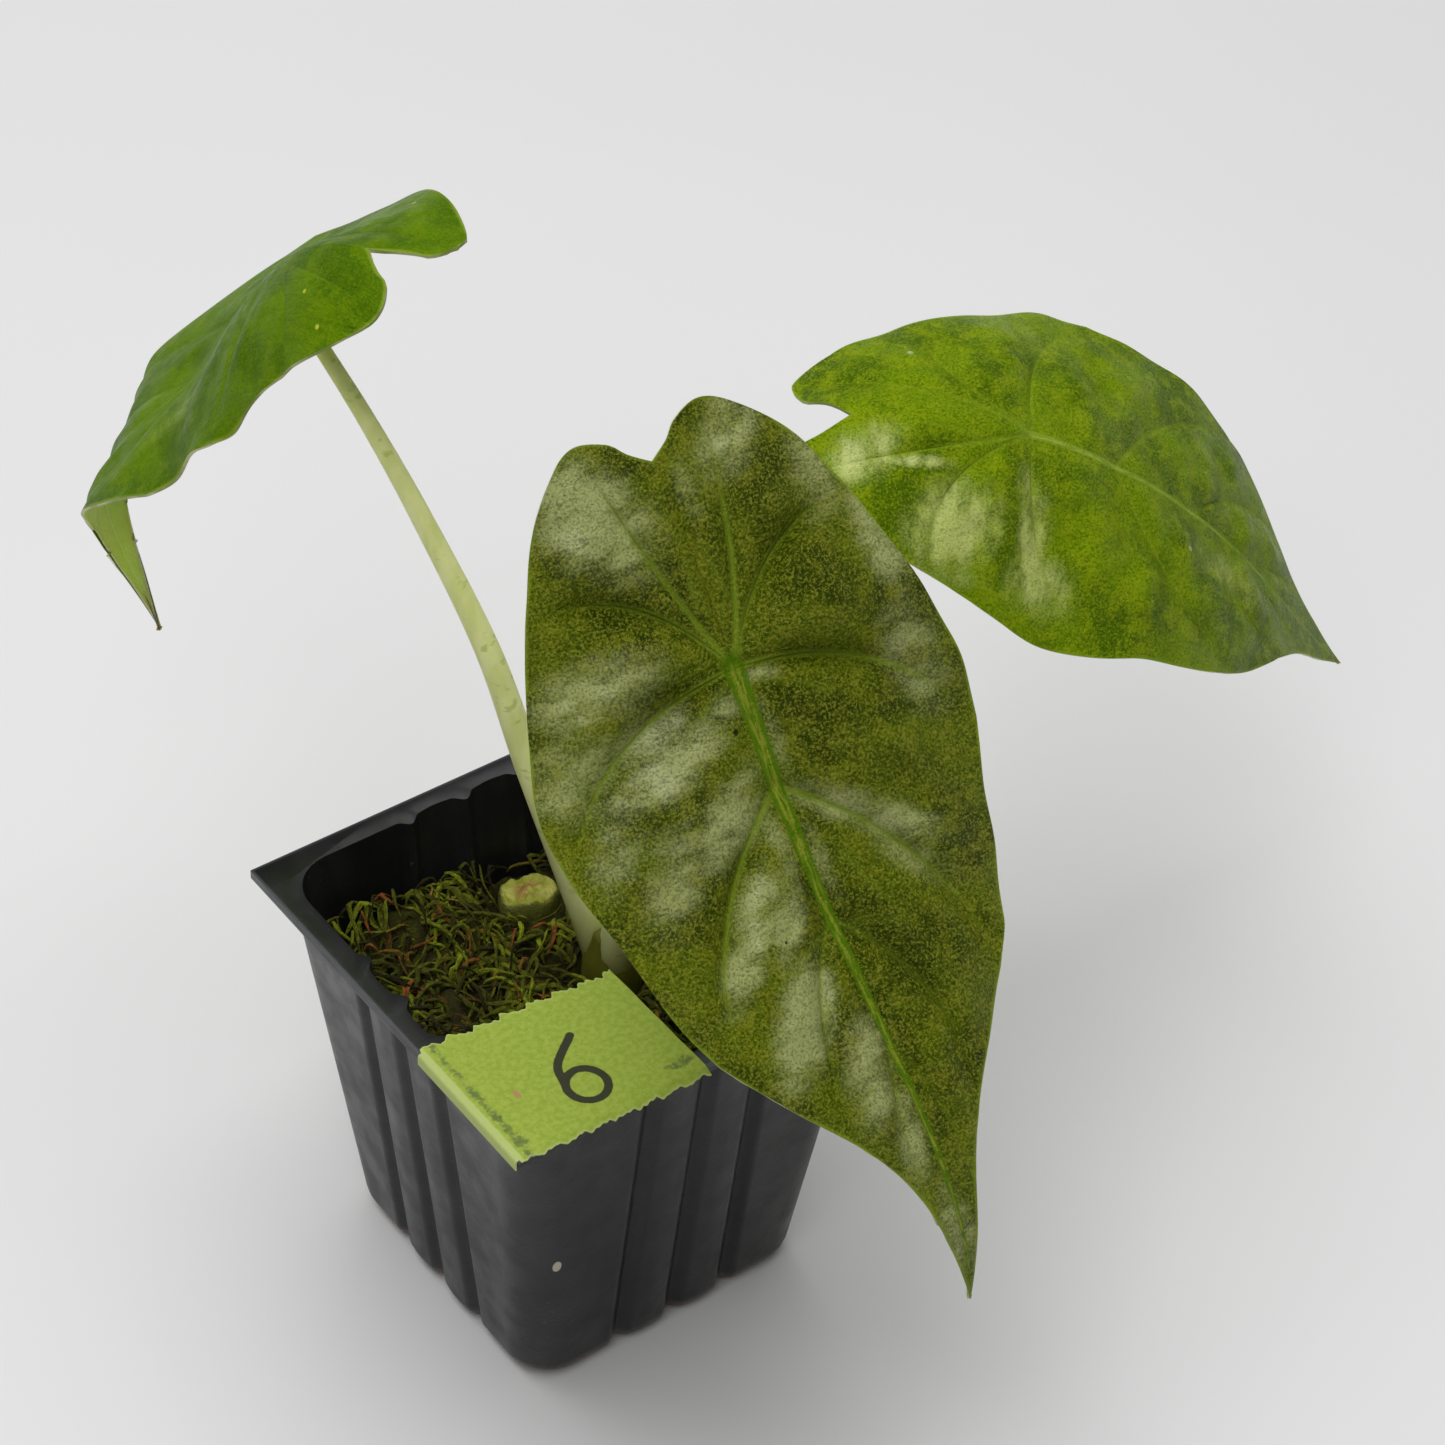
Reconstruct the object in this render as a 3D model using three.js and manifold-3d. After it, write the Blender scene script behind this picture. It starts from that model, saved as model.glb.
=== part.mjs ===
// Potted alocasia: a young foliage plant with three shield-shaped leaves on bare stalks,
// bedded in moss in a small square plastic pot, with a strip of masking tape across one
// corner of the rim. Millimetres, +Z up, origin on the floor under the middle of the pot.
// The tape corner of the rim points to -X -Y.
import * as THREE from 'three';
import * as BufferGeometryUtils from 'three/addons/utils/BufferGeometryUtils.js';
import Module from 'manifold-3d';

const wasm = await Module();
wasm.setup();

// Driving dimensions.
const POT_HEIGHT = 52;
const RIM_HALF = 27.5;
const RIM_THICKNESS = 1.2;
const BODY_TOP_HALF = 25.6;
const BODY_BASE_HALF = 19.8;
const BODY_CORNER_TOP = 5;
const BODY_CORNER_BASE = 5.5;
const WALL = 0.9;
const BASE_ROUND = 3;
const FLOOR_TOP = 1.7;
const FLUTE_PITCH = 7.7;
const FLUTE_HALF_WIDTH = 1.5;
const FLUTE_DEPTH = 1.0;
const LOBE_SWELL = 0.35;
const DRAIN_RADIUS = 2.6;
const DRAIN_OFFSET = 9.5;
const FOOT_HEIGHT = 0.5;
const FOOT_RADIUS = 2.2;
const FOOT_OFFSET = 13.4;
const MIDDLE_FOOT_RADIUS = 4.6;

const GAP = 0.3;
const MOSS_LEVEL = POT_HEIGHT - 13.4;
const MOSS_RELIEF = 1.3;
const STRAND_COUNT = 30;
const STRAND_RADIUS = 0.6;

const CROWN = [5, 0.7];
const CROWN_RADIUS = 3.7;
const CROWN_HOLE_DEPTH = 12;
const STUB = [4.2, 17];
const STUB_RADIUS = 3.6;
const STUB_TOP = POT_HEIGHT - 11.8;

const BLADE_THICKNESS = 0.7;
const MIDRIB_HEIGHT = 1.4;
const RIB_HEIGHT = 0.7;
const QUILT_HEIGHT = 1.5;

const TAPE_THICKNESS = 0.5;
const TAPE_TOOTH = 3.4;
const TAPE_TOOTH_HEIGHT = 0.7;
const TAPE_FLAP = 1.9;

// Small helpers.
const radians = (degrees) => degrees * Math.PI / 180;
const mix = (a, b, t) => a + (b - a) * t;
const clamp = (value, low, high) => Math.min(high, Math.max(low, value));

// A repeatable run of numbers between 0 and 1.
const seeded = (seed) => {
  let state = seed;
  return () => {
    state = (state * 1664525 + 1013904223) % 4294967296;
    return state / 4294967296;
  };
};

// A smooth curve through values given at rising knots.
const through = (knots, values, x) => {
  const last = knots.length - 1;
  const at = clamp(x, knots[0], knots[last]);
  let i = 0;
  while (i < last - 1 && at > knots[i + 1]) i += 1;
  const slope = (k) => {
    if (k === 0) return (values[1] - values[0]) / (knots[1] - knots[0]);
    if (k === last) return (values[last] - values[last - 1]) / (knots[last] - knots[last - 1]);
    return (values[k + 1] - values[k - 1]) / (knots[k + 1] - knots[k - 1]);
  };
  const step = knots[i + 1] - knots[i];
  const t = (at - knots[i]) / step;
  const t2 = t * t;
  const t3 = t2 * t;
  return (2 * t3 - 3 * t2 + 1) * values[i] + (t3 - 2 * t2 + t) * step * slope(i)
    + (3 * t2 - 2 * t3) * values[i + 1] + (t3 - t2) * step * slope(i + 1);
};

const geometryOf = (points, triangles) => {
  const geometry = new THREE.BufferGeometry();
  geometry.setAttribute('position', new THREE.Float32BufferAttribute(points.flat(), 3));
  geometry.setIndex(triangles.flat());
  geometry.computeVertexNormals();
  return geometry;
};

// A sheet with a top and a bottom: the free edges of the top are walled down to the bottom.
const closedSheet = (top, bottom, faces) => {
  const count = top.length;
  const directed = new Set();
  for (const [a, b, c] of faces) {
    directed.add(`${a}_${b}`);
    directed.add(`${b}_${c}`);
    directed.add(`${c}_${a}`);
  }
  const triangles = [];
  for (const [a, b, c] of faces) {
    triangles.push([a, b, c]);
    triangles.push([a + count, c + count, b + count]);
    for (const [p, q] of [[a, b], [b, c], [c, a]]) {
      if (directed.has(`${q}_${p}`)) continue;
      triangles.push([q, p, p + count]);
      triangles.push([q, p + count, q + count]);
    }
  }
  return geometryOf([...top, ...bottom], triangles);
};

// Closed rings of equal length joined one to the next, with a middle point at both ends.
const ringSolid = (rings, startMiddle, endMiddle) => {
  const size = rings[0].length;
  const points = [...rings.flat(), startMiddle, endMiddle];
  const triangles = [];
  for (let i = 0; i < size; i += 1) {
    const j = (i + 1) % size;
    triangles.push([points.length - 2, j, i]);
    const last = (rings.length - 1) * size;
    triangles.push([points.length - 1, last + i, last + j]);
    for (let r = 0; r < rings.length - 1; r += 1) {
      const low = r * size;
      const high = low + size;
      triangles.push([low + i, low + j, high + j]);
      triangles.push([low + i, high + j, high + i]);
    }
  }
  return geometryOf(points, triangles);
};

const solidOf = (geometry) => {
  const plain = geometry.clone();
  plain.deleteAttribute('normal');
  plain.deleteAttribute('uv');
  const merged = BufferGeometryUtils.mergeVertices(plain, 1e-4);
  return new wasm.Manifold(new wasm.Mesh({
    numProp: 3,
    vertProperties: new Float32Array(merged.attributes.position.array),
    triVerts: new Uint32Array(merged.index.array),
  }));
};

const geometryFrom = (solid) => {
  const mesh = solid.getMesh();
  const geometry = new THREE.BufferGeometry();
  geometry.setAttribute('position', new THREE.BufferAttribute(new Float32Array(mesh.vertProperties), 3));
  geometry.setIndex(new THREE.BufferAttribute(new Uint32Array(mesh.triVerts), 1));
  geometry.computeVertexNormals();
  return geometry;
};

const postSolid = (x, y, radius, bottom, top, sides = 20) => solidOf(
  new THREE.CylinderGeometry(radius, radius, top - bottom, sides)
    .rotateX(Math.PI / 2)
    .translate(x, y, (bottom + top) / 2),
);

// Pot.
// Half of the square body at a height, and the radius of its corners there.
const bodyHalf = (z) => {
  const rounded = z < BASE_ROUND
    ? BASE_ROUND - Math.sqrt(BASE_ROUND ** 2 - (BASE_ROUND - z) ** 2)
    : 0;
  return mix(BODY_BASE_HALF, BODY_TOP_HALF, z / POT_HEIGHT) - rounded;
};
const bodyCorner = (z) => mix(BODY_CORNER_BASE, BODY_CORNER_TOP, z / POT_HEIGHT);

// Stations of the outline of one side, from the middle of one corner to just before the
// next: how far along the side and how far out from the middle of the pot.
const sideStations = (half, corner) => {
  const stations = [];
  const arc = (turn, sign) => stations.push([
    sign * (half - corner + corner * Math.sin(radians(turn))),
    half - corner + corner * Math.cos(radians(turn)),
  ]);
  arc(45, -1);
  arc(24, -1);
  arc(0, -1);
  for (const middle of [-FLUTE_PITCH, 0, FLUTE_PITCH]) {
    stations.push([middle - FLUTE_HALF_WIDTH, half]);
    stations.push([middle, half - FLUTE_DEPTH]);
    stations.push([middle + FLUTE_HALF_WIDTH, half]);
    if (middle < FLUTE_PITCH) stations.push([middle + FLUTE_PITCH / 2, half + LOBE_SWELL]);
  }
  arc(0, 1);
  arc(24, 1);
  return stations;
};

const turned = ([along, out], side) => {
  if (side === 0) return [along, -out];
  if (side === 1) return [out, along];
  if (side === 2) return [-along, out];
  return [-out, -along];
};

// One closed ring of the fluted body, drawn in by an inset.
const bodyRing = (z, inset) => {
  const half = bodyHalf(z) - inset;
  const ring = [];
  for (let side = 0; side < 4; side += 1) {
    for (const station of sideStations(half, bodyCorner(z))) {
      const [x, y] = turned(station, side);
      ring.push([x, y, z]);
    }
  }
  return ring;
};

// A plain square ring whose points keep step with the body's, one on each sharp corner.
const rimRing = (half, z) => {
  const ring = [];
  for (let side = 0; side < 4; side += 1) {
    sideStations(half, BODY_CORNER_TOP).forEach(([along], index) => {
      const [x, y] = turned([index === 0 ? -half : along, half], side);
      ring.push([x, y, z]);
    });
  }
  return ring;
};

const makePot = () => {
  const rimUnder = POT_HEIGHT - RIM_THICKNESS;
  const atHeight = (ring, z) => ring.map(([x, y]) => [x, y, z]);
  const rings = [
    bodyRing(FOOT_HEIGHT, 0),
    bodyRing(1.5, 0),
    bodyRing(BASE_ROUND, 0),
    bodyRing(rimUnder, 0),
    rimRing(RIM_HALF, rimUnder),
    rimRing(RIM_HALF, POT_HEIGHT),
    atHeight(bodyRing(POT_HEIGHT, WALL), POT_HEIGHT),
    bodyRing(BASE_ROUND + 1, WALL),
    bodyRing(2.4, WALL),
    atHeight(bodyRing(1.5, WALL + 0.3), FLOOR_TOP),
  ];
  let pot = solidOf(ringSolid(rings, [0, 0, FOOT_HEIGHT], [0, 0, FLOOR_TOP]));
  for (const x of [-DRAIN_OFFSET, DRAIN_OFFSET]) {
    for (const y of [-DRAIN_OFFSET, DRAIN_OFFSET]) {
      pot = pot.subtract(postSolid(x, y, DRAIN_RADIUS, -1, FLOOR_TOP + 1, 16));
    }
  }
  pot = pot.add(postSolid(0, 0, MIDDLE_FOOT_RADIUS, 0, FOOT_HEIGHT + 0.4, 16));
  for (const x of [-FOOT_OFFSET, FOOT_OFFSET]) {
    for (const y of [-FOOT_OFFSET, FOOT_OFFSET]) {
      pot = pot.add(postSolid(x, y, FOOT_RADIUS, 0, FOOT_HEIGHT + 0.4, 12));
    }
  }
  return geometryFrom(pot);
};

// Moss.
// Low swells over the bed.
const mossHeight = (x, y) => MOSS_LEVEL + MOSS_RELIEF * 0.5
  * (Math.sin(0.31 * x + 0.9) * Math.cos(0.27 * y - 0.4) + Math.sin(0.55 * y + 0.43 * x + 2.1));

const makeMoss = () => {
  const inset = WALL + GAP;
  const bottom = FLOOR_TOP + GAP;
  const edge = MOSS_LEVEL - 2.5;
  const rings = [
    bodyRing(2.1, inset + 0.4).map(([x, y]) => [x, y, bottom]),
    bodyRing(BASE_ROUND + 1.4, inset),
    bodyRing(edge, inset),
  ];
  for (const share of [0.93, 0.74, 0.52, 0.28]) {
    rings.push(bodyRing(edge, inset).map(([x, y]) => [
      x * share, y * share, mossHeight(x * share, y * share),
    ]));
  }
  let moss = solidOf(ringSolid(rings, [0, 0, bottom], [0, 0, mossHeight(0, 0)]));
  const random = seeded(41);
  const strands = [];
  const reach = bodyHalf(MOSS_LEVEL) - 4;
  while (strands.length < STRAND_COUNT) {
    const x = (random() * 2 - 1) * (reach - 3);
    const y = (random() * 2 - 1) * (reach - 3);
    const heading = random() * Math.PI * 2;
    const length = 6 + random() * 6;
    const rise = 1.4 + random() * 1.8;
    const bend = (random() - 0.5) * 0.9;
    const keepOff = Math.hypot(x - CROWN[0], y - CROWN[1]) < CROWN_RADIUS + 5
      || Math.hypot(x - STUB[0], y - STUB[1]) < STUB_RADIUS + 5;
    if (keepOff) continue;
    const sections = [];
    for (let k = 0; k <= 3; k += 1) {
      const t = k / 3;
      const turn = heading + bend * t;
      const px = clamp(x + Math.cos(turn) * length * (t - 0.5), -reach, reach);
      const py = clamp(y + Math.sin(turn) * length * (t - 0.5), -reach, reach);
      const pz = mossHeight(px, py) - 1.2 + rise * 1.3 * Math.sin(Math.PI * t);
      const across = [-Math.sin(turn), Math.cos(turn)];
      sections.push([0, 1, 2].map((corner) => {
        const angle = radians(90 + 120 * corner);
        return [
          px + across[0] * STRAND_RADIUS * Math.cos(angle),
          py + across[1] * STRAND_RADIUS * Math.cos(angle),
          pz + STRAND_RADIUS * Math.sin(angle),
        ];
      }));
    }
    const middle = (ring) => [0, 1, 2].map((axis) => (ring[0][axis] + ring[1][axis] + ring[2][axis]) / 3);
    strands.push(solidOf(ringSolid(sections, middle(sections[0]), middle(sections[3]))));
  }
  for (const strand of strands) moss = moss.add(strand);
  const holeFloor = MOSS_LEVEL - CROWN_HOLE_DEPTH;
  moss = moss.subtract(postSolid(CROWN[0], CROWN[1], CROWN_RADIUS + GAP, holeFloor, POT_HEIGHT));
  moss = moss.subtract(postSolid(STUB[0], STUB[1], STUB_RADIUS + GAP, holeFloor, POT_HEIGHT));
  const pieces = moss.decompose();
  pieces.sort((a, b) => b.volume() - a.volume());
  return geometryFrom(pieces[0]);
};

// Leaves.
// One half of the flat blade in shares of its length from the stalk to the tip:
// x along the midrib (lobes negative), y from the midrib to the margin.
const OUTLINE_X = [-0.33, -0.35, -0.375, -0.39, -0.365, -0.3, -0.2, -0.1, 0, 0.1, 0.2, 0.3, 0.4, 0.5,
  0.6, 0.7, 0.8, 0.9, 1];
const OUTLINE_Y = [0, 0.03, 0.055, 0.1, 0.145, 0.2, 0.247, 0.283, 0.312, 0.336, 0.327, 0.3, 0.28,
  0.247, 0.193, 0.118, 0.06, 0.028, 0];
const OUTLINE_STEPS = OUTLINE_X.map((_, index) => index);

// Veins of one half, from the notch round to the tip. Each leaves the midrib at `from`,
// bends by `bend` and meets the margin at step `to` of the outline.
const VEINS = [
  { from: 0, bend: [-0.165, 0], to: 0, rib: 0 },
  { from: 0, bend: [-0.135, 0.06], to: 3, rib: 1 },
  { from: 0, bend: [-0.19, 0.1], to: 6.3, rib: 0.8 },
  { from: 0, bend: [0.01, 0.22], to: 10, rib: 1 },
  { from: 0.18, bend: [0.31, 0.19], to: 13.4, rib: 1 },
  { from: 0.38, bend: [0.52, 0.13], to: 15.1, rib: 0.7 },
  { from: 0.58, bend: [0.71, 0.06], to: 16.5, rib: 0.5 },
  { from: 1, bend: [1, 0], to: 18, rib: 0 },
];
const LINE_SHARES = [0, 0.14, 0.5, 0.86];
const RIB_SHARES = [0, 0.08, 0.25, 0.45, 0.66, 0.85, 1];

const PITCH_KNOTS = [-0.35, 0, 0.25, 0.5, 0.75, 1];
const TURN_KNOTS = [-0.35, 0, 0.5, 1];
const FOLD_KNOTS = [-0.35, 0, 0.4, 1];

// Angles are in degrees at the knots above: `pitch` is how far the midrib dips, `yaw` its
// heading, `roll` its tilt to the side. `fold` is the droop of a half at the midrib and
// `curl` its further turn over 0.3 of the length. `lobes`, `notch` and `point` stretch the
// back lobes, the notch between them and the breadth of the point.
const LEAF_LEFT = {
  hub: [-8.4, 48, POT_HEIGHT + 65.2],
  length: 60.8,
  pitch: [5.7, 50.3, 62.3, 41, 103.7, 141.1],
  yaw: [106.1, 100.5, 154.2, 83.1],
  roll: [-2, 7.4, 0.7, 26.2],
  left: { fold: [26.9, 28.6, -14.8, 8.8], curl: [33.6, 41.2, 23.2, 67.2] },
  right: { fold: [8.5, 1.8, 7.5, 17.2], curl: [-15.4, -17, 1.6, 11.5] },
  lobes: [1, 1.1],
  notch: 0.9,
  point: 0.56,
};
const LEAF_FRONT = {
  hub: [6, -18.2, POT_HEIGHT + 47.2],
  length: 74.3,
  pitch: [47, 51, 47, 40, 52, 85],
  yaw: [-85, -91, -90, -85],
  roll: [10, 11, 3, 3],
  left: { fold: [-6, -3, -4, 0], curl: [10, 11, 9, 13] },
  right: { fold: [0, 0, -2, 1], curl: [13, 14, 13, 14] },
  lobes: [0.94, 0.97],
  notch: 0.95,
  point: 0.82,
};
const LEAF_RIGHT = {
  hub: [66.2, 4.2, POT_HEIGHT + 38.5],
  length: 71.7,
  pitch: [-13, 25, 39, 49, 54, 48],
  yaw: [-40, -25, -12, 0],
  roll: [16, 22, 33, 41],
  left: { fold: [17, 8, -2, 0], curl: [12, 20, 16, 11] },
  right: { fold: [12, 16, 0, 3], curl: [18, 19, 13, 14] },
  lobes: [1.05, 1.06],
  notch: 0.93,
  point: 1.08,
};

// The midrib as a curve in space with the blade's side and face directions along it.
const spineOf = (leaf) => {
  const step = 0.01;
  const samples = [];
  const place = new THREE.Vector3();
  for (let k = -42; k <= 102; k += 1) {
    const x = k * step;
    const p = radians(through(PITCH_KNOTS, leaf.pitch, x));
    const y = radians(through(TURN_KNOTS, leaf.yaw, x));
    const r = radians(through(TURN_KNOTS, leaf.roll, x));
    const ahead = new THREE.Vector3(Math.cos(p) * Math.cos(y), Math.cos(p) * Math.sin(y), -Math.sin(p));
    const face = new THREE.Vector3(Math.sin(p) * Math.cos(y), Math.sin(p) * Math.sin(y), Math.cos(p));
    const side = face.clone().cross(ahead);
    const tiltedSide = side.clone().multiplyScalar(Math.cos(r)).addScaledVector(face, Math.sin(r));
    const tiltedFace = face.clone().multiplyScalar(Math.cos(r)).addScaledVector(side, -Math.sin(r));
    samples.push({ x, place: place.clone(), side: tiltedSide, face: tiltedFace });
    place.addScaledVector(ahead, step * leaf.length);
  }
  const shift = new THREE.Vector3(...leaf.hub).sub(samples[42].place);
  for (const sample of samples) sample.place.add(shift);
  return samples;
};

const spineAt = (spine, x) => {
  const at = clamp((x + 0.42) / 0.01, 0, spine.length - 1.001);
  const i = Math.floor(at);
  const t = at - i;
  return ['place', 'side', 'face'].map((key) => spine[i][key].clone().lerp(spine[i + 1][key], t));
};

// A point of the blade from flat shares x, y on one half, raised off its face by `lift` mm.
const bladePoint = (leaf, spine, sign, x, y, lift) => {
  const half = sign > 0 ? leaf.left : leaf.right;
  const fold = radians(through(FOLD_KNOTS, half.fold, x));
  const curl = radians(through(FOLD_KNOTS, half.curl, x)) / 0.3;
  const rate = Math.abs(curl) < 1e-3 ? 1e-3 : curl;
  const angle = fold + rate * y;
  const out = (Math.sin(angle) - Math.sin(fold)) / rate * leaf.length;
  const down = (Math.cos(angle) - Math.cos(fold)) / rate * leaf.length;
  const level = y === 0 ? 0 : angle;
  const [place, side, face] = spineAt(spine, x);
  place.addScaledVector(side, sign * (out + lift * Math.sin(level)));
  place.addScaledVector(face, down + lift * Math.cos(level));
  return place.toArray();
};

const outlineAt = (leaf, sign, step) => {
  const x = through(OUTLINE_STEPS, OUTLINE_X, step);
  const y = Math.max(0, through(OUTLINE_STEPS, OUTLINE_Y, step));
  const lobe = leaf.lobes[sign > 0 ? 0 : 1];
  const reach = clamp(-x / 0.39, 0, 1);
  if (step === 0) return [x * leaf.notch, 0];
  return [x * mix(1, lobe, reach), y * mix(1, leaf.point, clamp((x - 0.5) / 0.25, 0, 1))];
};

const makeLeaf = (leaf) => {
  const spine = spineOf(leaf);
  const lines = [];
  for (let row = 0; row < VEINS.length - 1; row += 1) {
    for (const share of LINE_SHARES) lines.push({ row, share });
  }
  lines.push({ row: VEINS.length - 2, share: 1 });
  const size = leaf.length / 74;
  const top = [];
  const bottom = [];
  const seen = new Map();
  const vertex = (sign, index, step) => {
    const { row, share } = lines[index];
    const low = VEINS[row];
    const high = VEINS[row + 1];
    const from = mix(low.from, high.from, share);
    const v = RIB_SHARES[step];
    let key = `${sign}:${index}:${step}`;
    if (index === lines.length - 1) key = 'tip';
    else if (step === 0) key = from === 0 ? 'hub' : `midrib:${index}`;
    else if (index === 0) key = `notch:${step}`;
    if (seen.has(key)) return seen.get(key);
    const bend = [mix(low.bend[0], high.bend[0], share), mix(low.bend[1], high.bend[1], share)];
    const end = outlineAt(leaf, sign, mix(low.to, high.to, share));
    const a = (1 - v) * (1 - v);
    const b = 2 * v * (1 - v);
    const x = a * from + b * bend[0] + v * v * end[0];
    const y = b * bend[1] + v * v * end[1];
    const onMidrib = key === 'hub' || key === 'tip' || key.startsWith('midrib');
    const reach = onMidrib ? 0 : Math.sin(Math.PI * Math.min(1, v ** 0.8));
    const quilt = QUILT_HEIGHT * size * Math.sin(Math.PI * share) * reach * (1 - 0.5 * row / 7);
    let rib = 0;
    if (onMidrib) rib = MIDRIB_HEIGHT * size * (1 - clamp(x, 0, 1)) ** 0.8;
    else if (share === 0) rib = RIB_HEIGHT * size * low.rib * (1 - v);
    top.push(bladePoint(leaf, spine, sign, x, y, quilt + BLADE_THICKNESS / 2));
    bottom.push(bladePoint(leaf, spine, sign, x, y, quilt - BLADE_THICKNESS / 2 - rib));
    seen.set(key, top.length - 1);
    return top.length - 1;
  };
  const faces = [];
  const addFace = (a, b, c) => {
    if (a !== b && b !== c && c !== a) faces.push([a, b, c]);
  };
  for (const sign of [1, -1]) {
    for (let line = 0; line < lines.length - 1; line += 1) {
      for (let step = 0; step < RIB_SHARES.length - 1; step += 1) {
        const a = vertex(sign, line, step);
        const b = vertex(sign, line + 1, step);
        const c = vertex(sign, line + 1, step + 1);
        const d = vertex(sign, line, step + 1);
        if (sign > 0) {
          addFace(a, b, c);
          addFace(a, c, d);
        } else {
          addFace(a, c, b);
          addFace(a, d, c);
        }
      }
    }
  }
  return closedSheet(top, bottom, faces);
};

// Stalks.
// A round stalk swept through points; its last ring lies square to `endFace`.
const makeStalk = (points, radii, endFace) => {
  const curve = new THREE.CatmullRomCurve3(points.map((point) => new THREE.Vector3(...point)), false, 'centripetal');
  const steps = 14;
  const sides = 10;
  const knots = radii.map((_, index) => index / (radii.length - 1));
  const rings = [];
  for (let k = 0; k <= steps; k += 1) {
    const t = k / steps;
    const centre = curve.getPoint(t);
    const ahead = curve.getTangent(t);
    if (k === steps) ahead.copy(endFace);
    if (k === steps - 1) ahead.lerp(endFace, 0.5).normalize();
    if (k === 0) ahead.set(0, 0, 1);
    const across = new THREE.Vector3(0.3, -1, 0).cross(ahead).normalize();
    const other = ahead.clone().cross(across);
    const radius = through(knots, radii, t);
    rings.push(Array.from({ length: sides }, (_, i) => {
      const angle = i / sides * Math.PI * 2;
      return centre.clone()
        .addScaledVector(across, radius * Math.cos(angle))
        .addScaledVector(other, radius * Math.sin(angle))
        .toArray();
    }));
  }
  return ringSolid(rings, curve.getPoint(0).toArray(), curve.getPoint(1).toArray());
};

// Where a stalk ends: just short of the rib under the leaf's hub, square to the blade.
const stalkEnd = (leaf) => {
  const [place, , face] = spineAt(spineOf(leaf), 0);
  const drop = BLADE_THICKNESS / 2 + MIDRIB_HEIGHT * leaf.length / 74 + GAP;
  return { face, end: place.addScaledVector(face, -drop) };
};

const makeStems = () => {
  const base = MOSS_LEVEL - CROWN_HOLE_DEPTH + GAP;
  const [cx, cy] = CROWN;
  const rim = POT_HEIGHT;
  const stalk = (leaf, points, radii) => {
    const { face, end } = stalkEnd(leaf);
    const below = end.clone().addScaledVector(face, -4);
    return solidOf(makeStalk([...points, below.toArray(), end.toArray()], radii, face));
  };
  const left = stalk(LEAF_LEFT, [
    [cx - 0.3, cy + 0.9, base + 6], [cx - 0.3, cy + 1.6, rim - 10], [1.3, 12.6, rim + 12.9],
    [-0.7, 18.3, rim + 27.4], [-3.6, 27.3, rim + 42], [-5.9, 34.4, rim + 51.8],
  ], [2.5, 2.4, 1.8, 1.5, 1.25, 1, 0.85]);
  const front = stalk(LEAF_FRONT, [
    [cx - 0.4, cy - 1, base + 6], [cx - 0.2, cy - 1.2, rim - 8], [cx + 2.4, cy - 2, rim + 12],
    [cx + 3.4, cy - 4.5, rim + 30],
  ], [2.5, 2.2, 1.7, 1.4, 1.2, 1]);
  const right = stalk(LEAF_RIGHT, [
    [cx + 1.1, cy, base + 6], [cx + 2, cy, rim - 8], [cx + 14, cy + 3, rim + 8],
    [cx + 38, cy + 6, rim + 23],
  ], [2.5, 2.2, 1.8, 1.5, 1.2, 1]);
  const corm = postSolid(cx, cy, CROWN_RADIUS, base, MOSS_LEVEL + 1.5, 16);
  return geometryFrom(corm.add(left).add(front).add(right));
};

const makeStub = () => {
  const base = MOSS_LEVEL - CROWN_HOLE_DEPTH + GAP;
  const random = seeded(7);
  const sides = 12;
  const ring = (z, scale, rough) => Array.from({ length: sides }, (_, i) => {
    const angle = i / sides * Math.PI * 2;
    const radius = STUB_RADIUS * scale * (1 - rough * random());
    return [STUB[0] + radius * Math.cos(angle), STUB[1] + radius * Math.sin(angle) * 0.92, z + rough * random()];
  });
  const rings = [
    ring(base, 0.9, 0),
    ring(MOSS_LEVEL - 1, 1, 0.05),
    ring(STUB_TOP - 0.7, 0.97, 0.12),
    ring(STUB_TOP - 0.1, 0.82, 0.2),
  ];
  return ringSolid(rings, [STUB[0], STUB[1], base], [STUB[0], STUB[1], STUB_TOP + 0.3]);
};

// Tape.
// A strip laid over one corner of the rim: a straight edge folded down over the rim at one
// side, the other straight edge free over the moss, both cut ends toothed.
const makeTape = () => {
  const z = POT_HEIGHT + GAP;
  const edge = RIM_HALF + GAP;
  const random = seeded(19);
  const columns = [
    { x: -edge, z: z - TAPE_FLAP, out: [-1, 0] },
    { x: -edge, z, out: [-1, 1] },
  ];
  for (let x = -edge + TAPE_TOOTH / 2; x < -3; x += TAPE_TOOTH / 2) columns.push({ x, z, out: [0, 1] });
  columns.push({ x: -2.5, z, out: [0, 1] });
  const top = [];
  const bottom = [];
  const faces = [];
  const rows = 4;
  columns.forEach((column, index) => {
    const tooth = index % 2 === 0 ? TAPE_TOOTH_HEIGHT : -TAPE_TOOTH_HEIGHT * 0.3;
    const share = (column.x + edge) / (edge - 2.5);
    const inner = mix(-8.2, -9.9, share) + (index < 2 ? 0 : tooth * (0.6 + random() * 0.5));
    const outer = mix(-27.4, -28.2, share) - (index < 2 ? 0 : tooth * (0.3 + random() * 0.5));
    for (let row = 0; row < rows; row += 1) {
      const y = mix(inner, outer, row / (rows - 1));
      bottom.push([column.x, y, column.z]);
      top.push([
        column.x + column.out[0] * TAPE_THICKNESS, y, column.z + column.out[1] * TAPE_THICKNESS,
      ]);
      if (index === columns.length - 1 || row === rows - 1) continue;
      const a = index * rows + row;
      faces.push([a, a + 1, a + rows + 1]);
      faces.push([a, a + rows + 1, a + rows]);
    }
  });
  return closedSheet(top, bottom, faces);
};

// Assembly.
const finish = (color, roughness) => new THREE.MeshStandardMaterial({ color, roughness, metalness: 0 });

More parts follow.
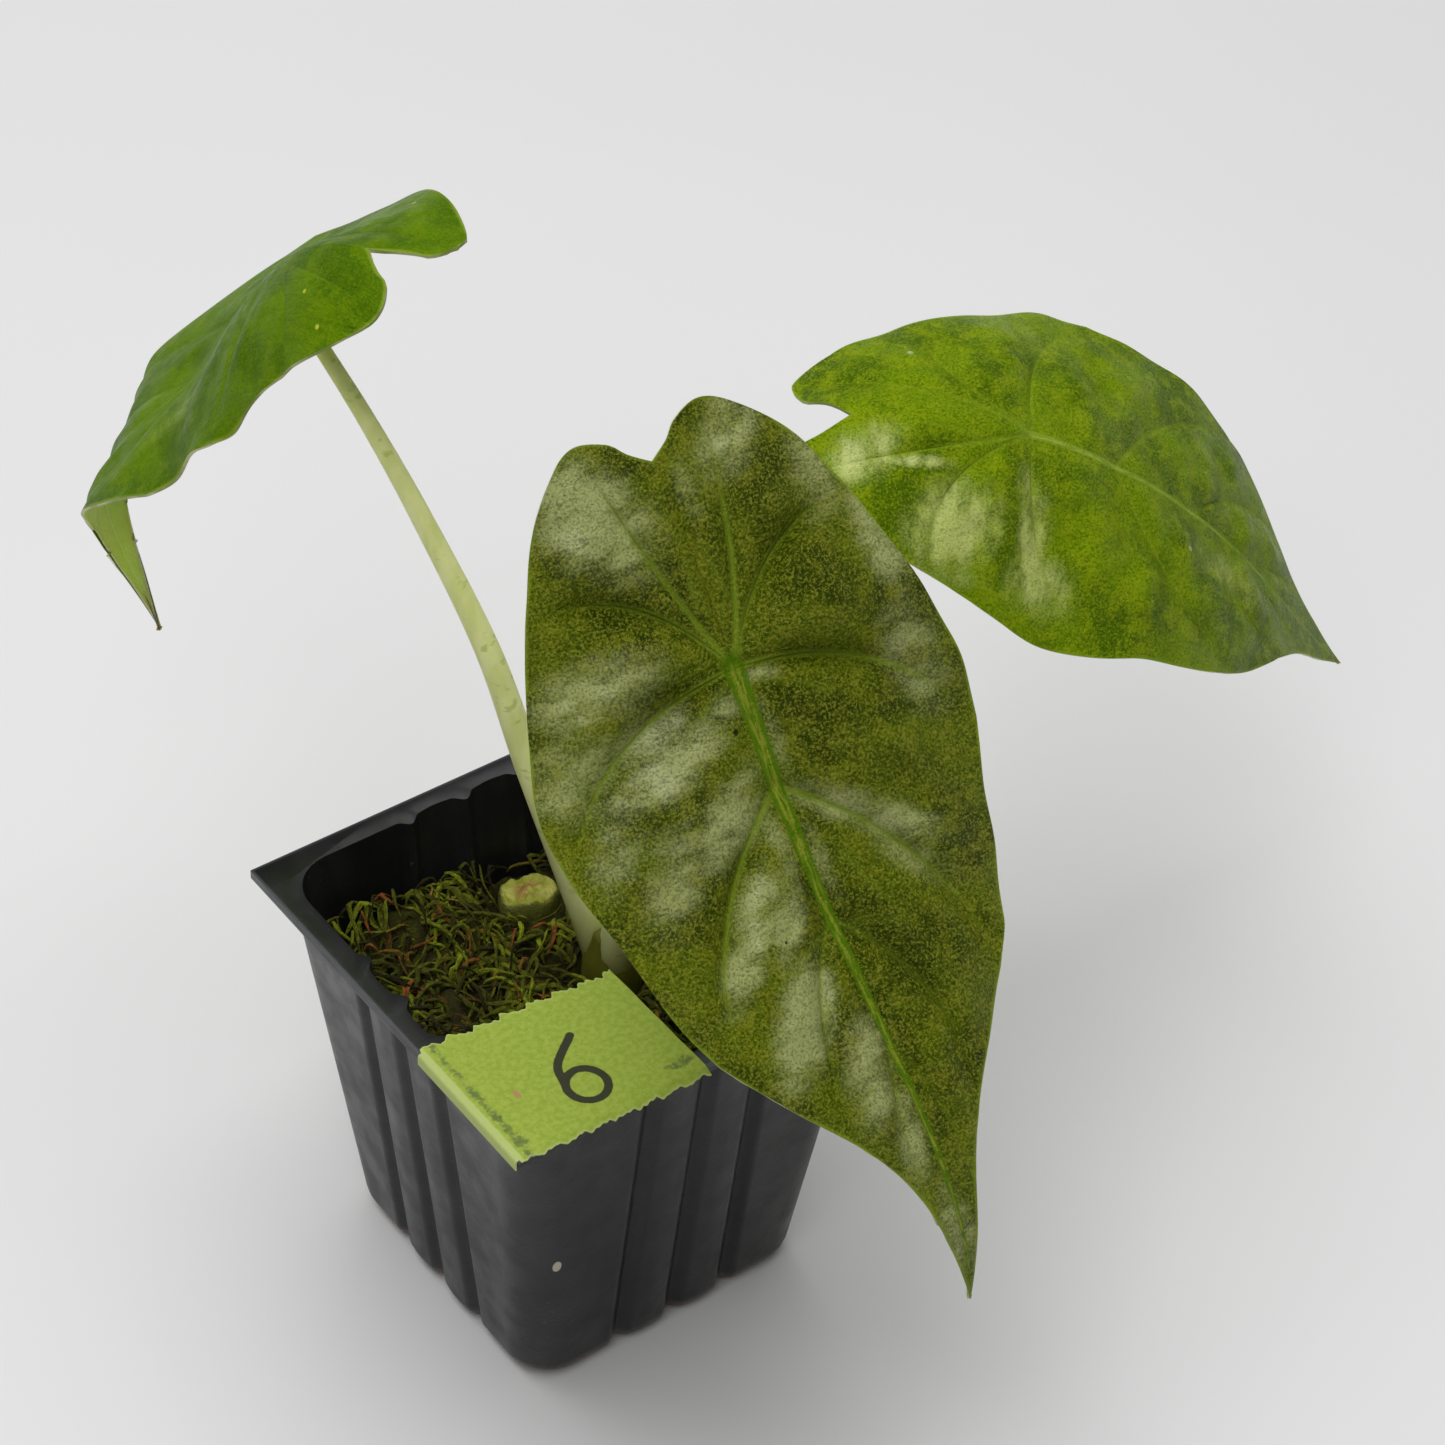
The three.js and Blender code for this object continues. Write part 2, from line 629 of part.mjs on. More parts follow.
const group = new THREE.Group();
const place = (name, geometry, material) => {
  const mesh = new THREE.Mesh(geometry, material);
  mesh.name = name;
  group.add(mesh);
};

place('pot', makePot(), finish(0x2b2b2d, 0.45));
place('moss', makeMoss(), finish(0x38381c, 0.95));
place('stems', makeStems(), finish(0x9fae5c, 0.5));
place('cut_stub', makeStub(), finish(0xb4b24a, 0.6));
place('leaf_left', makeLeaf(LEAF_LEFT), finish(0x4f7a2e, 0.4));
place('leaf_front', makeLeaf(LEAF_FRONT), finish(0x55682f, 0.4));
place('leaf_right', makeLeaf(LEAF_RIGHT), finish(0x5b8a2c, 0.38));
place('tape_label', makeTape(), finish(0x9cbc3c, 0.8));

export default group;
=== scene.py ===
"""Looks of a young potted alocasia: a fluted square pot, moss, stalks, leaves and a tape label."""

import logging
import math
from dataclasses import dataclass, replace
from enum import Enum
from typing import Callable, Optional, Sequence

import bpy
import numpy as np
from mathutils import Matrix, Vector


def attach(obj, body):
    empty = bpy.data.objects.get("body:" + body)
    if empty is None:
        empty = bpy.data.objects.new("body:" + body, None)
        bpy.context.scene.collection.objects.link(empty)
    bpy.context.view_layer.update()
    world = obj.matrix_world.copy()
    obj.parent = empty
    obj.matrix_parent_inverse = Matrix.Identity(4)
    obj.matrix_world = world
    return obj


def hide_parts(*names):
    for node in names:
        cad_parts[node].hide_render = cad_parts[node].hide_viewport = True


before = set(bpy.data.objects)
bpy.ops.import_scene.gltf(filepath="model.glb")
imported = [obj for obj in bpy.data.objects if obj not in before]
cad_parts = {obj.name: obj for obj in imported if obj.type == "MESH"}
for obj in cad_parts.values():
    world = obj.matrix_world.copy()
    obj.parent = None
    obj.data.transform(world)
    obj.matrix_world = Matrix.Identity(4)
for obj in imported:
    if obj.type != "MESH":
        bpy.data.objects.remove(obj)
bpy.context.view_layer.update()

Array = np.ndarray
Colour = tuple[float, float, float]
Triple = tuple[float, float, float]

LOG = logging.getLogger("alocasia")
MM = 0.001
# Heights and places in mm: the rim's top, where the crown and the stub start, and where they stand.
RIM = 52.0
ROOTS = RIM - 25.1
CROWN_PLACE = (5.0, 0.7)
STUB_PLACE = (4.2, 17.0)
# Axis and sign of each side of the pot.
SIDES = ((0, 1), (0, -1), (1, 1), (1, -1))
# How near in mm a point must be to a level to count as on it.
CLOSE = 0.01
# Length in mm of the blade for which the sizes of ribs and relief are given.
MODEL_LENGTH = 74


class Side(Enum):
    """The two halves of a blade, seen from the stalk towards the tip."""

    LEFT = 1
    RIGHT = -1


# Helpers for numbers


def through(knots: Sequence[float], values: Sequence[float], x: Array) -> Array:
    """Follow a smooth curve through values given at rising knots.

    Args:
        knots: rising places of the values.
        values: the values there.
        x: where to read the curve.

    Returns:
        The curve's values at x.
    """
    k = np.asarray(knots, float)
    v = np.asarray(values, float)
    slope = np.empty_like(v)
    slope[0] = (v[1] - v[0]) / (k[1] - k[0])
    slope[-1] = (v[-1] - v[-2]) / (k[-1] - k[-2])
    slope[1:-1] = (v[2:] - v[:-2]) / (k[2:] - k[:-2])
    at = np.clip(np.asarray(x, float), k[0], k[-1])
    i = np.clip(np.searchsorted(k, at, side="right") - 1, 0, len(k) - 2)
    step = k[i + 1] - k[i]
    t = (at - k[i]) / step
    return (
        (2 * t**3 - 3 * t**2 + 1) * v[i]
        + (t**3 - 2 * t**2 + t) * step * slope[i]
        + (3 * t**2 - 2 * t**3) * v[i + 1]
        + (t**3 - t**2) * step * slope[i + 1]
    )


def swell(points: Array, size: float, seed: float) -> Array:
    """Give a soft, repeatable unevenness from a few crossed waves.

    Args:
        points: places in mm, with x, y, z in the last axis.
        size: about the width in mm of one swell.
        seed: a number that moves the pattern.

    Returns:
        Values between about -1 and 1.
    """
    rng = np.random.default_rng(int(seed * 1000))
    total = np.zeros(points.shape[:-1])
    for _ in range(7):
        way = rng.normal(size=3)
        way /= np.linalg.norm(way)
        rate = 2 * math.pi / (size * rng.uniform(0.7, 1.6))
        total += np.sin(points @ way * rate + rng.uniform(0, 6.28))
    return total / 3.2


def distance_to(points: Array, path: Array) -> tuple[Array, Array]:
    """Measure flat places against a line of straight runs.

    Args:
        points: places, with x and y in the last axis.
        path: the line's corners, one row each.

    Returns:
        The distance to the line, and the share of the line where it is nearest.
    """
    start, run = path[:-1], np.diff(path, axis=0)
    size = (run**2).sum(1) + 1e-12
    given = points.reshape(-1, 1, 2) - start[None]
    t = np.clip((given * run[None]).sum(2) / size, 0, 1)
    gap = np.linalg.norm(given - t[..., None] * run[None], axis=2)
    nearest = gap.argmin(1)
    chosen = np.arange(len(nearest)), nearest
    shape = points.shape[:-1]
    return gap[chosen].reshape(shape), ((nearest + t[chosen]) / len(run)).reshape(shape)


def on_axis(axis: int, value: float, others: float = 0.0) -> list[float]:
    """Give a vector with one value on an axis and another on the rest."""
    made = [others] * 3
    made[axis] = value
    return made


def upright(
    centre: Sequence[float], heights: Sequence[float], angle: Array, reach: Array, squash: float = 1.0
) -> Array:
    """Lay level rings over each other.

    Args:
        centre: x and y of their middle in mm.
        heights: each ring's height.
        angle: the points' angles.
        reach: the points' distance from the middle, angles x heights.
        squash: how much of the depth along Y is kept.

    Returns:
        Places, angles x heights x 3.
    """
    x = centre[0] + np.cos(angle)[:, None] * reach
    y = centre[1] + np.sin(angle)[:, None] * reach * squash
    return np.stack([x, y, np.broadcast_to(heights, x.shape)], 2)


def at_level(places: Array, level: float) -> Array:
    """Tell which places in mm lie at a height."""
    return np.abs(places[:, 2] - level) < CLOSE


# Helpers for meshes


def clear_selection() -> None:
    """Leave nothing selected, in object mode."""
    if bpy.context.object and bpy.context.object.mode != "OBJECT":
        bpy.ops.object.mode_set(mode="OBJECT")
    bpy.ops.object.select_all(action="DESELECT")


def take(obj: bpy.types.Object) -> None:
    """Make one object the only selected and active one."""
    clear_selection()
    obj.select_set(True)
    bpy.context.view_layer.objects.active = obj


def read_points(mesh: bpy.types.Mesh) -> Array:
    """Read a mesh's points in metres, one row each."""
    places = np.empty(len(mesh.vertices) * 3)
    mesh.vertices.foreach_get("co", places)
    return places.reshape(-1, 3)


def read_mark(mesh: bpy.types.Mesh, key: str) -> Array:
    """Read a value kept on a mesh's points."""
    values = np.empty(len(mesh.vertices))
    mesh.attributes[key].data.foreach_get("value", values)
    return values


def keep_mark(mesh: bpy.types.Mesh, key: str, values: Array) -> None:
    """Keep a value on a mesh's points."""
    layer = mesh.attributes.new(key, "FLOAT", "POINT")
    layer.data.foreach_set("value", np.ascontiguousarray(values, float))


def pick(obj: bpy.types.Object, test: Callable[[Array], Array]) -> None:
    """Select the points of a piece that pass a test, and what lies between them, in edit mode.

    Args:
        obj: the piece, which is the active one.
        test: takes rows of places in mm and tells which are wanted.
    """
    if obj.mode != "EDIT":
        bpy.ops.object.mode_set(mode="EDIT")
    bpy.ops.mesh.select_mode(type="VERT")
    bpy.ops.mesh.select_all(action="DESELECT")
    bpy.ops.object.mode_set(mode="OBJECT")
    obj.data.vertices.foreach_set("select", test(read_points(obj.data) / MM))
    bpy.ops.object.mode_set(mode="EDIT")
    bpy.ops.mesh.select_mode(type="VERT")


def extrude_up(height: float) -> None:
    """Extrude what is selected straight up by a height in mm."""
    bpy.ops.mesh.extrude_region_move(TRANSFORM_OT_translate={"value": (0, 0, height * MM)})


def tidy_mesh(obj: bpy.types.Object, turn: bool = True) -> None:
    """Close seams and poles and, for a closed body, turn the faces outwards."""
    take(obj)
    bpy.ops.object.mode_set(mode="EDIT")
    bpy.ops.mesh.select_all(action="SELECT")
    bpy.ops.mesh.remove_doubles(threshold=1e-6)
    if turn:
        bpy.ops.mesh.normals_make_consistent(inside=False)
    bpy.ops.object.mode_set(mode="OBJECT")


def apply_modifier(obj: bpy.types.Object, kind: str, **settings: object) -> None:
    """Add one modifier with its settings and apply it.

    Args:
        obj: the piece.
        kind: the modifier's type.
        settings: its properties.
    """
    take(obj)
    modifier = obj.modifiers.new(kind.lower(), kind)
    for key, value in settings.items():
        setattr(modifier, key, value)
    bpy.ops.object.modifier_apply(modifier=modifier.name)


def lattice(
    name: str, points: Array, marks: Optional[dict[str, Array]] = None, closed: bool = True
) -> bpy.types.Object:
    """Lay a grid primitive over a table of points.

    Args:
        name: the piece's name.
        points: columns x rows x 3 places in mm.
        marks: values to keep on the points, by name, each columns x rows.
        closed: whether the result is a closed body, whose normals can be made consistent.

    Returns:
        The new object, at the origin.
    """
    columns, rows = points.shape[0] - 1, points.shape[1] - 1
    clear_selection()
    bpy.ops.mesh.primitive_grid_add(x_subdivisions=columns, y_subdivisions=rows, size=2)
    obj = bpy.context.object
    obj.name = name
    mesh = obj.data
    flat = read_points(mesh)
    i = np.rint((flat[:, 0] + 1) / 2 * columns).astype(int)
    j = np.rint((flat[:, 1] + 1) / 2 * rows).astype(int)
    mesh.vertices.foreach_set("co", (points[i, j] * MM).ravel())
    for key, values in (marks or {}).items():
        keep_mark(mesh, key, values[i, j])
    mesh.update()
    tidy_mesh(obj, turn=closed)
    return obj


def join(pieces: Sequence[bpy.types.Object], name: str) -> bpy.types.Object:
    """Join several pieces into the first, under one name."""
    clear_selection()
    for piece in pieces:
        piece.select_set(True)
    bpy.context.view_layer.objects.active = pieces[0]
    bpy.ops.object.join()
    joined = bpy.context.object
    joined.name = name
    return joined


def copies(
    master: bpy.types.Object, shapes: Sequence[Array], tones: Sequence[float], name: str
) -> bpy.types.Object:
    """Copy a modelled piece once for each shape and join the copies.

    Args:
        master: the piece to copy.
        shapes: for each copy, the places of its points in mm, in the master's point order.
        tones: one number kept on all points of each copy.
        name: the joined piece's name.

    Returns:
        The joined object.
    """
    made = []
    for shape, tone in zip(shapes, tones):
        piece = master.copy()
        piece.data = master.data.copy()
        piece.data.vertices.foreach_set("co", (shape * MM).ravel())
        keep_mark(piece.data, "tone", np.full(len(shape), tone))
        bpy.context.collection.objects.link(piece)
        made.append(piece)
    joined = join(made, name)
    bpy.data.objects.remove(master)
    return joined


def hand_over(
    obj: bpy.types.Object, node: str, smooth: float, finish: Optional["Finish"] = None
) -> None:
    """Finish and shade a piece, hang it under the root body and hide the solid it stands for.

    Args:
        obj: the piece.
        node: the solid it stands for.
        smooth: edges flatter than this many degrees are shaded smooth.
        finish: its finish, unless its faces have theirs already.
    """
    if finish:
        obj.data.materials.append(finish.build())
    take(obj)
    bpy.ops.object.shade_smooth_by_angle(angle=math.radians(smooth))
    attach(obj, "root")
    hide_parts(node)
    faces = sum(len(p.vertices) - 2 for p in obj.data.polygons)
    LOG.info("%s: %d triangles", obj.name, faces)


# Helpers for materials


def colour(value: object) -> object:
    """Give a plain colour its alpha, and pass a socket on."""
    return value if isinstance(value, bpy.types.NodeSocket) else (*value, 1.0)


class Graph:
    """A node tree with short calls that add nodes and join them."""

    def __init__(self, tree: bpy.types.NodeTree) -> None:
        """Start with a tree's present nodes."""
        self.tree = tree

    def node(self, kind: str, inputs: Optional[dict] = None, **settings: object) -> bpy.types.Node:
        """Add one node.

        Args:
            kind: the node's type.
            inputs: numbers, colours or sockets by input name or index.
            settings: the node's own properties.

        Returns:
            The new node.
        """
        made = self.tree.nodes.new(kind)
        for key, value in settings.items():
            setattr(made, key, value)
        for key, value in (inputs or {}).items():
            if isinstance(value, bpy.types.NodeSocket):
                self.tree.links.new(value, made.inputs[key])
            else:
                made.inputs[key].default_value = value
        return made

    def grain(self, where: object, scale: float, detail: float = 2.0, rough: float = 0.5) -> object:
        """Read a noise at a scale per metre."""
        values = {"Vector": where, "Scale": scale, "Detail": detail, "Roughness": rough}
        return self.node("ShaderNodeTexNoise", values).outputs["Fac"]

    def between(
        self, value: object, low: float, high: float, start: float = 0.0, end: float = 1.0
    ) -> object:
        """Turn a value from low to high into a smooth step from start to end."""
        inputs = {"Value": value, "From Min": low, "From Max": high, "To Min": start, "To Max": end}
        made = self.node("ShaderNodeMapRange", inputs, interpolation_type="SMOOTHSTEP", clamp=True)
        return made.outputs[0]

    def sums(self, operation: str, first: object, second: object = 0.0) -> object:
        """Do a sum on two values."""
        return self.node("ShaderNodeMath", {0: first, 1: second}, operation=operation).outputs[0]

    def times(self, first: object, second: object) -> object:
        """Multiply two values."""
        return self.sums("MULTIPLY", first, second)

    def blend(self, share: object, first: object, second: object, strength: float = 1.0) -> object:
        """Mix two colours, the second by a share times a strength."""
        part = share if strength == 1.0 else self.times(share, strength)
        inputs = {0: part, 6: colour(first), 7: colour(second)}
        return self.node("ShaderNodeMix", inputs, data_type="RGBA").outputs[2]

    def vector(self, operation: str, first: object, second: Sequence[float] = (0, 0, 0)) -> bpy.types.Node:
        """Do a sum on two vectors."""
        return self.node("ShaderNodeVectorMath", {0: first, 1: second}, operation=operation)

    def mark(self, name: str) -> object:
        """Read a value kept on the mesh."""
        return self.node("ShaderNodeAttribute", attribute_name=name).outputs["Fac"]

    def place(self) -> object:
        """Read places on the object, in metres."""
        return self.node("ShaderNodeTexCoord").outputs["Object"]

    def flat(self) -> object:
        """Read places on the blade laid flat, in metres: along the midrib and out from it."""
        inputs = {0: self.mark("flat_x"), 1: self.mark("flat_y")}
        return self.node("ShaderNodeCombineXYZ", inputs).outputs[0]

    def stretched(self, where: object, scale: Sequence[float]) -> object:
        """Stretch a pattern along its axes."""
        return self.node("ShaderNodeMapping", {"Vector": where, "Scale": tuple(scale)}).outputs[0]

    def bump(self, height: object, depth: float, strength: float = 1.0) -> object:
        """Turn a height into a bumpy normal, with its depth in mm."""
        inputs = {"Height": height, "Distance": depth * MM, "Strength": strength}
        return self.node("ShaderNodeBump", inputs).outputs[0]

    def speckle(self, where: object, scale: float, patches: float, cover: float) -> object:
        """Scatter specks with the shared group."""
        inputs = {"Vector": where, "Scale": scale, "Patches": patches, "Cover": cover}
        return self.node("ShaderNodeGroup", inputs, node_tree=SPECKLE).outputs[0]

    def relief(self, where: object, scale: float, fine: float) -> object:
        """Read the shared fine relief."""
        inputs = {"Vector": where, "Scale": scale, "Fine": fine}
        return self.node("ShaderNodeGroup", inputs, node_tree=RELIEF).outputs[0]


def shared_group(name: str, numbers: Sequence[str], work: Callable) -> bpy.types.NodeTree:
    """Build a shader group that works out one value from a place and some numbers.

    Args:
        name: the group's name.
        numbers: names of the numbers that it takes besides the place.
        work: takes the graph and the group's inputs by name and gives the value.

    Returns:
        The group.
    """
    group = bpy.data.node_groups.new(name, "ShaderNodeTree")
    group.interface.new_socket("Vector", in_out="INPUT", socket_type="NodeSocketVector")
    for label in numbers:
        group.interface.new_socket(label, in_out="INPUT", socket_type="NodeSocketFloat")
    group.interface.new_socket("Value", in_out="OUTPUT", socket_type="NodeSocketFloat")
    g = Graph(group)
    g.node("NodeGroupOutput", {"Value": work(g, g.node("NodeGroupInput").outputs)})
    return group


def specks(g: Graph, given: dict) -> object:
    """Scatter specks, thicker in some places than in others."""
    fine = g.grain(given["Vector"], given["Scale"], 3.0, 0.65)
    patches = g.grain(given["Vector"], given["Patches"], 3.0, 0.6)
    lift = g.times(g.sums("SUBTRACT", patches, 0.5), 0.55)
    return g.between(g.sums("ADD", g.sums("ADD", fine, lift), given["Cover"]), 0.52, 0.64)


def two_grains(g: Graph, given: dict) -> object:
    """Lay fine grain on broad grain."""
    broad = g.grain(given["Vector"], given["Scale"])
    fine = g.grain(given["Vector"], g.times(given["Scale"], 4.0), 2.0, 0.6)
    return g.sums("ADD", broad, g.times(fine, given["Fine"]))


SPECKLE = shared_group("speckle", ("Scale", "Patches", "Cover"), specks)
RELIEF = shared_group("fine_relief", ("Scale", "Fine"), two_grains)


@dataclass(frozen=True)
class Finish:
    """A material; each kind of finish paints its own shader. Colours are linear."""

    name: str

    def paint(self, g: Graph) -> dict[str, object]:
        """Give the shader's inputs by name."""
        raise NotImplementedError

    def build(self) -> bpy.types.Material:
        """Make the material."""
        made = bpy.data.materials.new(self.name)
        made.use_nodes = True
        made.node_tree.nodes.clear()
        g = Graph(made.node_tree)
        shader = g.node("ShaderNodeBsdfPrincipled", self.paint(g))
        g.node("ShaderNodeOutputMaterial", {"Surface": shader.outputs[0]})
        return made


@dataclass(frozen=True)
class PaintedLightPatch:
    """A patch of painted light on a blade: silvery painted sheen, and below 0 painted shade; its half, place
    and reach, and strength.
    """

    side: Side
    x: float
    y: float
    along: float
    across: float
    strength: float


@dataclass(frozen=True)
class Spot:
    """A small mark on a blade: its half, place in shares of the length, radius in mm and colour."""

    side: Side
    x: float
    y: float
    radius: float
    colour: Colour


@dataclass(frozen=True)
class LeafFinish(Finish):
    """The upper face of a blade: green with clouds, flecks, yellow-green veins, silvery patches that are partly
    silvery skin and partly painted sheen, and painted shade.

    The shares say how strongly clouds, flecks and the silver with its painted sheen show, `cover` how much of
    the face the flecks take, `grit` how broken the silver is and how strongly the grain's painted highlight
    and painted shade show, and `pebble` and `wrinkle` how deep the skin's grain is in mm. `length` is the
    blade's, in mm, and places the spots.
    """

    deep: Colour
    green: Colour
    cloud: Colour
    # Painted highlight on the skin's raised grain.
    grain: Colour
    fleck: Colour
    # Colour of the silver patches: partly silvery skin, partly painted sheen.
    silver_and_sheen: Colour
    vein: Colour
    rib: Colour
    rib_shade: Colour
    tip: Colour
    clouds: float
    flecks: float
    cover: float
    silver_and_sheen_share: float
    grit: float
    veining: float
    roughness: float
    pebble: float
    wrinkle: float
    gloss: float
    spots: tuple[Spot, ...]
    length: float = 0.0

    def silver_and_sheen_mask(self, g: Graph, flat: object, cells: object) -> object:
        """Where the face shines silver, partly silvery skin and partly painted sheen: patches drawn out along
        the side veins, broken by the grain.
        """
        streaks = g.grain(g.stretched(flat, (1, 0.45, 1)), 380.0, 5.0, 0.65)
        uneven = g.times(g.mark("sheen"), g.between(streaks, 0.38, 0.62, 0.55, 1.25))
        grainy = g.between(cells, 0.36, 0.54, 1 - 0.65 * self.grit, 1.0)
        return g.times(g.between(uneven, 0.02, 0.95), grainy)

    def skin(self, g: Graph, where: object, cells: object, silver_and_sheen: object) -> object:
        """Colour the blade between its veins, with painted shade in its patches and valleys, a painted
        highlight and painted shade on its grain, and silver with a painted sheen.
        """
        base = g.blend(g.between(g.grain(where, 110.0, 3.0), 0.4, 0.6), self.deep, self.green)
        cloud = g.between(g.grain(where, 420.0, 4.0, 0.62), 0.45, 0.64)
        base = g.blend(cloud, base, self.cloud, self.clouds)
        # Painted shade: the dark patches and the vein valleys darken towards the deep green.
        base = g.blend(g.mark("shade"), base, self.deep, 0.75)
        # Painted highlight on the grain's raised cells and painted shade in its pits, both following the bump.
        base = g.blend(g.between(cells, 0.5, 0.6), base, self.grain, self.grit * 0.8)
        painted_pit_shade = tuple(0.4 * c for c in self.deep)
        base = g.blend(g.between(cells, 0.48, 0.4), base, painted_pit_shade, self.grit * 0.75)
        for scale, patches, share in ((4300.0, 330.0, 1.0), (2200.0, 190.0, 0.8)):
            flecks = g.speckle(where, scale, patches, self.cover)
            base = g.blend(flecks, base, self.fleck, self.flecks * share)
        # Silver patches: partly silvery skin, partly painted sheen.
        return g.blend(silver_and_sheen, base, self.silver_and_sheen, self.silver_and_sheen_share)

    def draw_veins(self, g: Graph, flat: object, base: object, veins: object) -> object:
        """Lay the veins, the striped midrib, its hub and the dry tip over a colour."""
        base = g.blend(veins, base, self.vein, self.veining)
        midrib = g.mark("midrib")
        stripes = g.grain(g.stretched(flat, (0.16, 1, 1)), 2600.0, 4.0, 0.65)
        heart = g.times(g.between(midrib, 0.8, 0.3), g.between(stripes, 0.42, 0.56))
        rib = g.blend(heart, self.rib_shade, self.rib)
        base = g.blend(g.between(midrib, 1.2, 0.85, 0.0, 0.92), base, rib)
        base = g.blend(g.mark("hub"), base, self.rib_shade, 0.7)
        return g.blend(g.between(g.mark("along"), 0.95, 1.0, 0.0, 0.85), base, self.tip)

    def paint(self, g: Graph) -> dict[str, object]:
        """Give the shader's inputs by name."""
        where, flat = g.place(), g.flat()
        cells = g.grain(where, 3300.0, 5.0, 0.72)
        silver_and_sheen = self.silver_and_sheen_mask(g, flat, cells)
        veins = g.mark("vein")
        base = self.draw_veins(g, flat, self.skin(g, where, cells, silver_and_sheen), veins)
        for spot in self.spots:
            middle = (spot.x * self.length * MM, spot.side.value * spot.y * self.length * MM, 0)
            gap = g.vector("DISTANCE", flat, middle).outputs["Value"]
            inside = g.between(gap, spot.radius * 1.2 * MM, spot.radius * 0.7 * MM, 0.0, 0.9)
            base = g.blend(inside, base, spot.colour)
        folds = g.grain(g.stretched(flat, (0.14, 1, 1)), 900.0, 3.0, 0.6)
        height = g.sums("ADD", g.times(cells, self.pebble), g.times(folds, self.wrinkle))
        tone = g.grain(where, 700.0, 3.0)
        return {
            "Base Color": g.blend(g.between(g.mark("margin"), 0.5, 0.15, 0.0, 0.7), base, self.vein),
            "Coat Weight": g.times(silver_and_sheen, self.silver_and_sheen_share * 0.5),
            "Coat Roughness": 0.24,
            "Roughness": g.between(tone, 0.3, 0.7, self.roughness - 0.06, self.roughness + 0.08),
            "Normal": g.bump(g.sums("SUBTRACT", height, g.times(veins, 0.06)), 1.0),
            "Specular IOR Level": self.gloss,
            "Specular Tint": (1.0, 1.0, 0.2, 1.0),
        }


@dataclass(frozen=True)
class UndersideFinish(Finish):
    """The paler, matt underside of a blade with its raised ribs."""

    pale: Colour
    shade: Colour
    rib: Colour
    tip: Colour

    def paint(self, g: Graph) -> dict[str, object]:
        """Give the shader's inputs by name."""
        where = g.place()
        base = g.blend(g.between(g.grain(where, 220.0, 3.0), 0.35, 0.65), self.shade, self.pale)
        base = g.blend(g.between(g.grain(where, 2600.0), 0.55, 0.7, 0.0, 0.3), base, self.rib)
        base = g.blend(g.mark("vein"), base, self.rib, 0.6)
        base = g.blend(g.between(g.mark("midrib"), 1.1, 0.7, 0.0, 0.7), base, self.rib)
        return {
            "Base Color": g.blend(g.between(g.mark("along"), 0.88, 0.98, 0.0, 0.9), base, self.tip),
            "Roughness": 0.5,
            "Subsurface Weight": 0.85,
            "Subsurface Scale": 1.0,
            "Subsurface Radius": (0.0012, 0.0016, 0.0004),
            "Normal": g.bump(g.relief(where, 1100.0, 0.5), 0.15, 0.6),
        }


@dataclass(frozen=True)
class EdgeFinish(Finish):
    """The thin pale rim round a blade."""

    cream: Colour
    green: Colour

    def paint(self, g: Graph) -> dict[str, object]:
        """Give the shader's inputs by name."""
        patches = g.between(g.grain(g.place(), 260.0, 3.0), 0.38, 0.62)
        return {"Base Color": g.blend(patches, self.cream, self.green), "Roughness": 0.45}


@dataclass(frozen=True)
class StalkFinish(Finish):
    """A smooth pale green stalk with short darker dashes, darker and duller at its foot."""

    pale: Colour
    green: Colour
    dash: Colour
    foot: Colour

    def paint(self, g: Graph) -> dict[str, object]:
        """Give the shader's inputs by name."""
        where = g.place()
        clouds = g.grain(g.stretched(where, (1, 1, 0.25)), 500.0, 3.0)
        base = g.blend(g.between(clouds, 0.35, 0.65), self.green, self.pale)
        dashes = g.grain(g.stretched(where, (1, 1, 2.2)), 380.0, 2.0, 0.7)
        base = g.blend(g.between(dashes, 0.6, 0.72, 0.0, 0.6), base, self.dash)
        height = g.relief(g.stretched(where, (1, 1, 0.3)), 900.0, 0.4)
        return {
            "Base Color": g.blend(g.between(g.mark("foot"), 0.0, 1.0), base, self.foot),
            "Roughness": g.between(g.grain(where, 700.0), 0.3, 0.7, 0.36, 0.5),
            "Normal": g.bump(height, 0.12, 0.6),
            "Subsurface Weight": 0.3,
            "Subsurface Scale": 1.0,
            "Subsurface Radius": (0.001, 0.0012, 0.0004),
        }


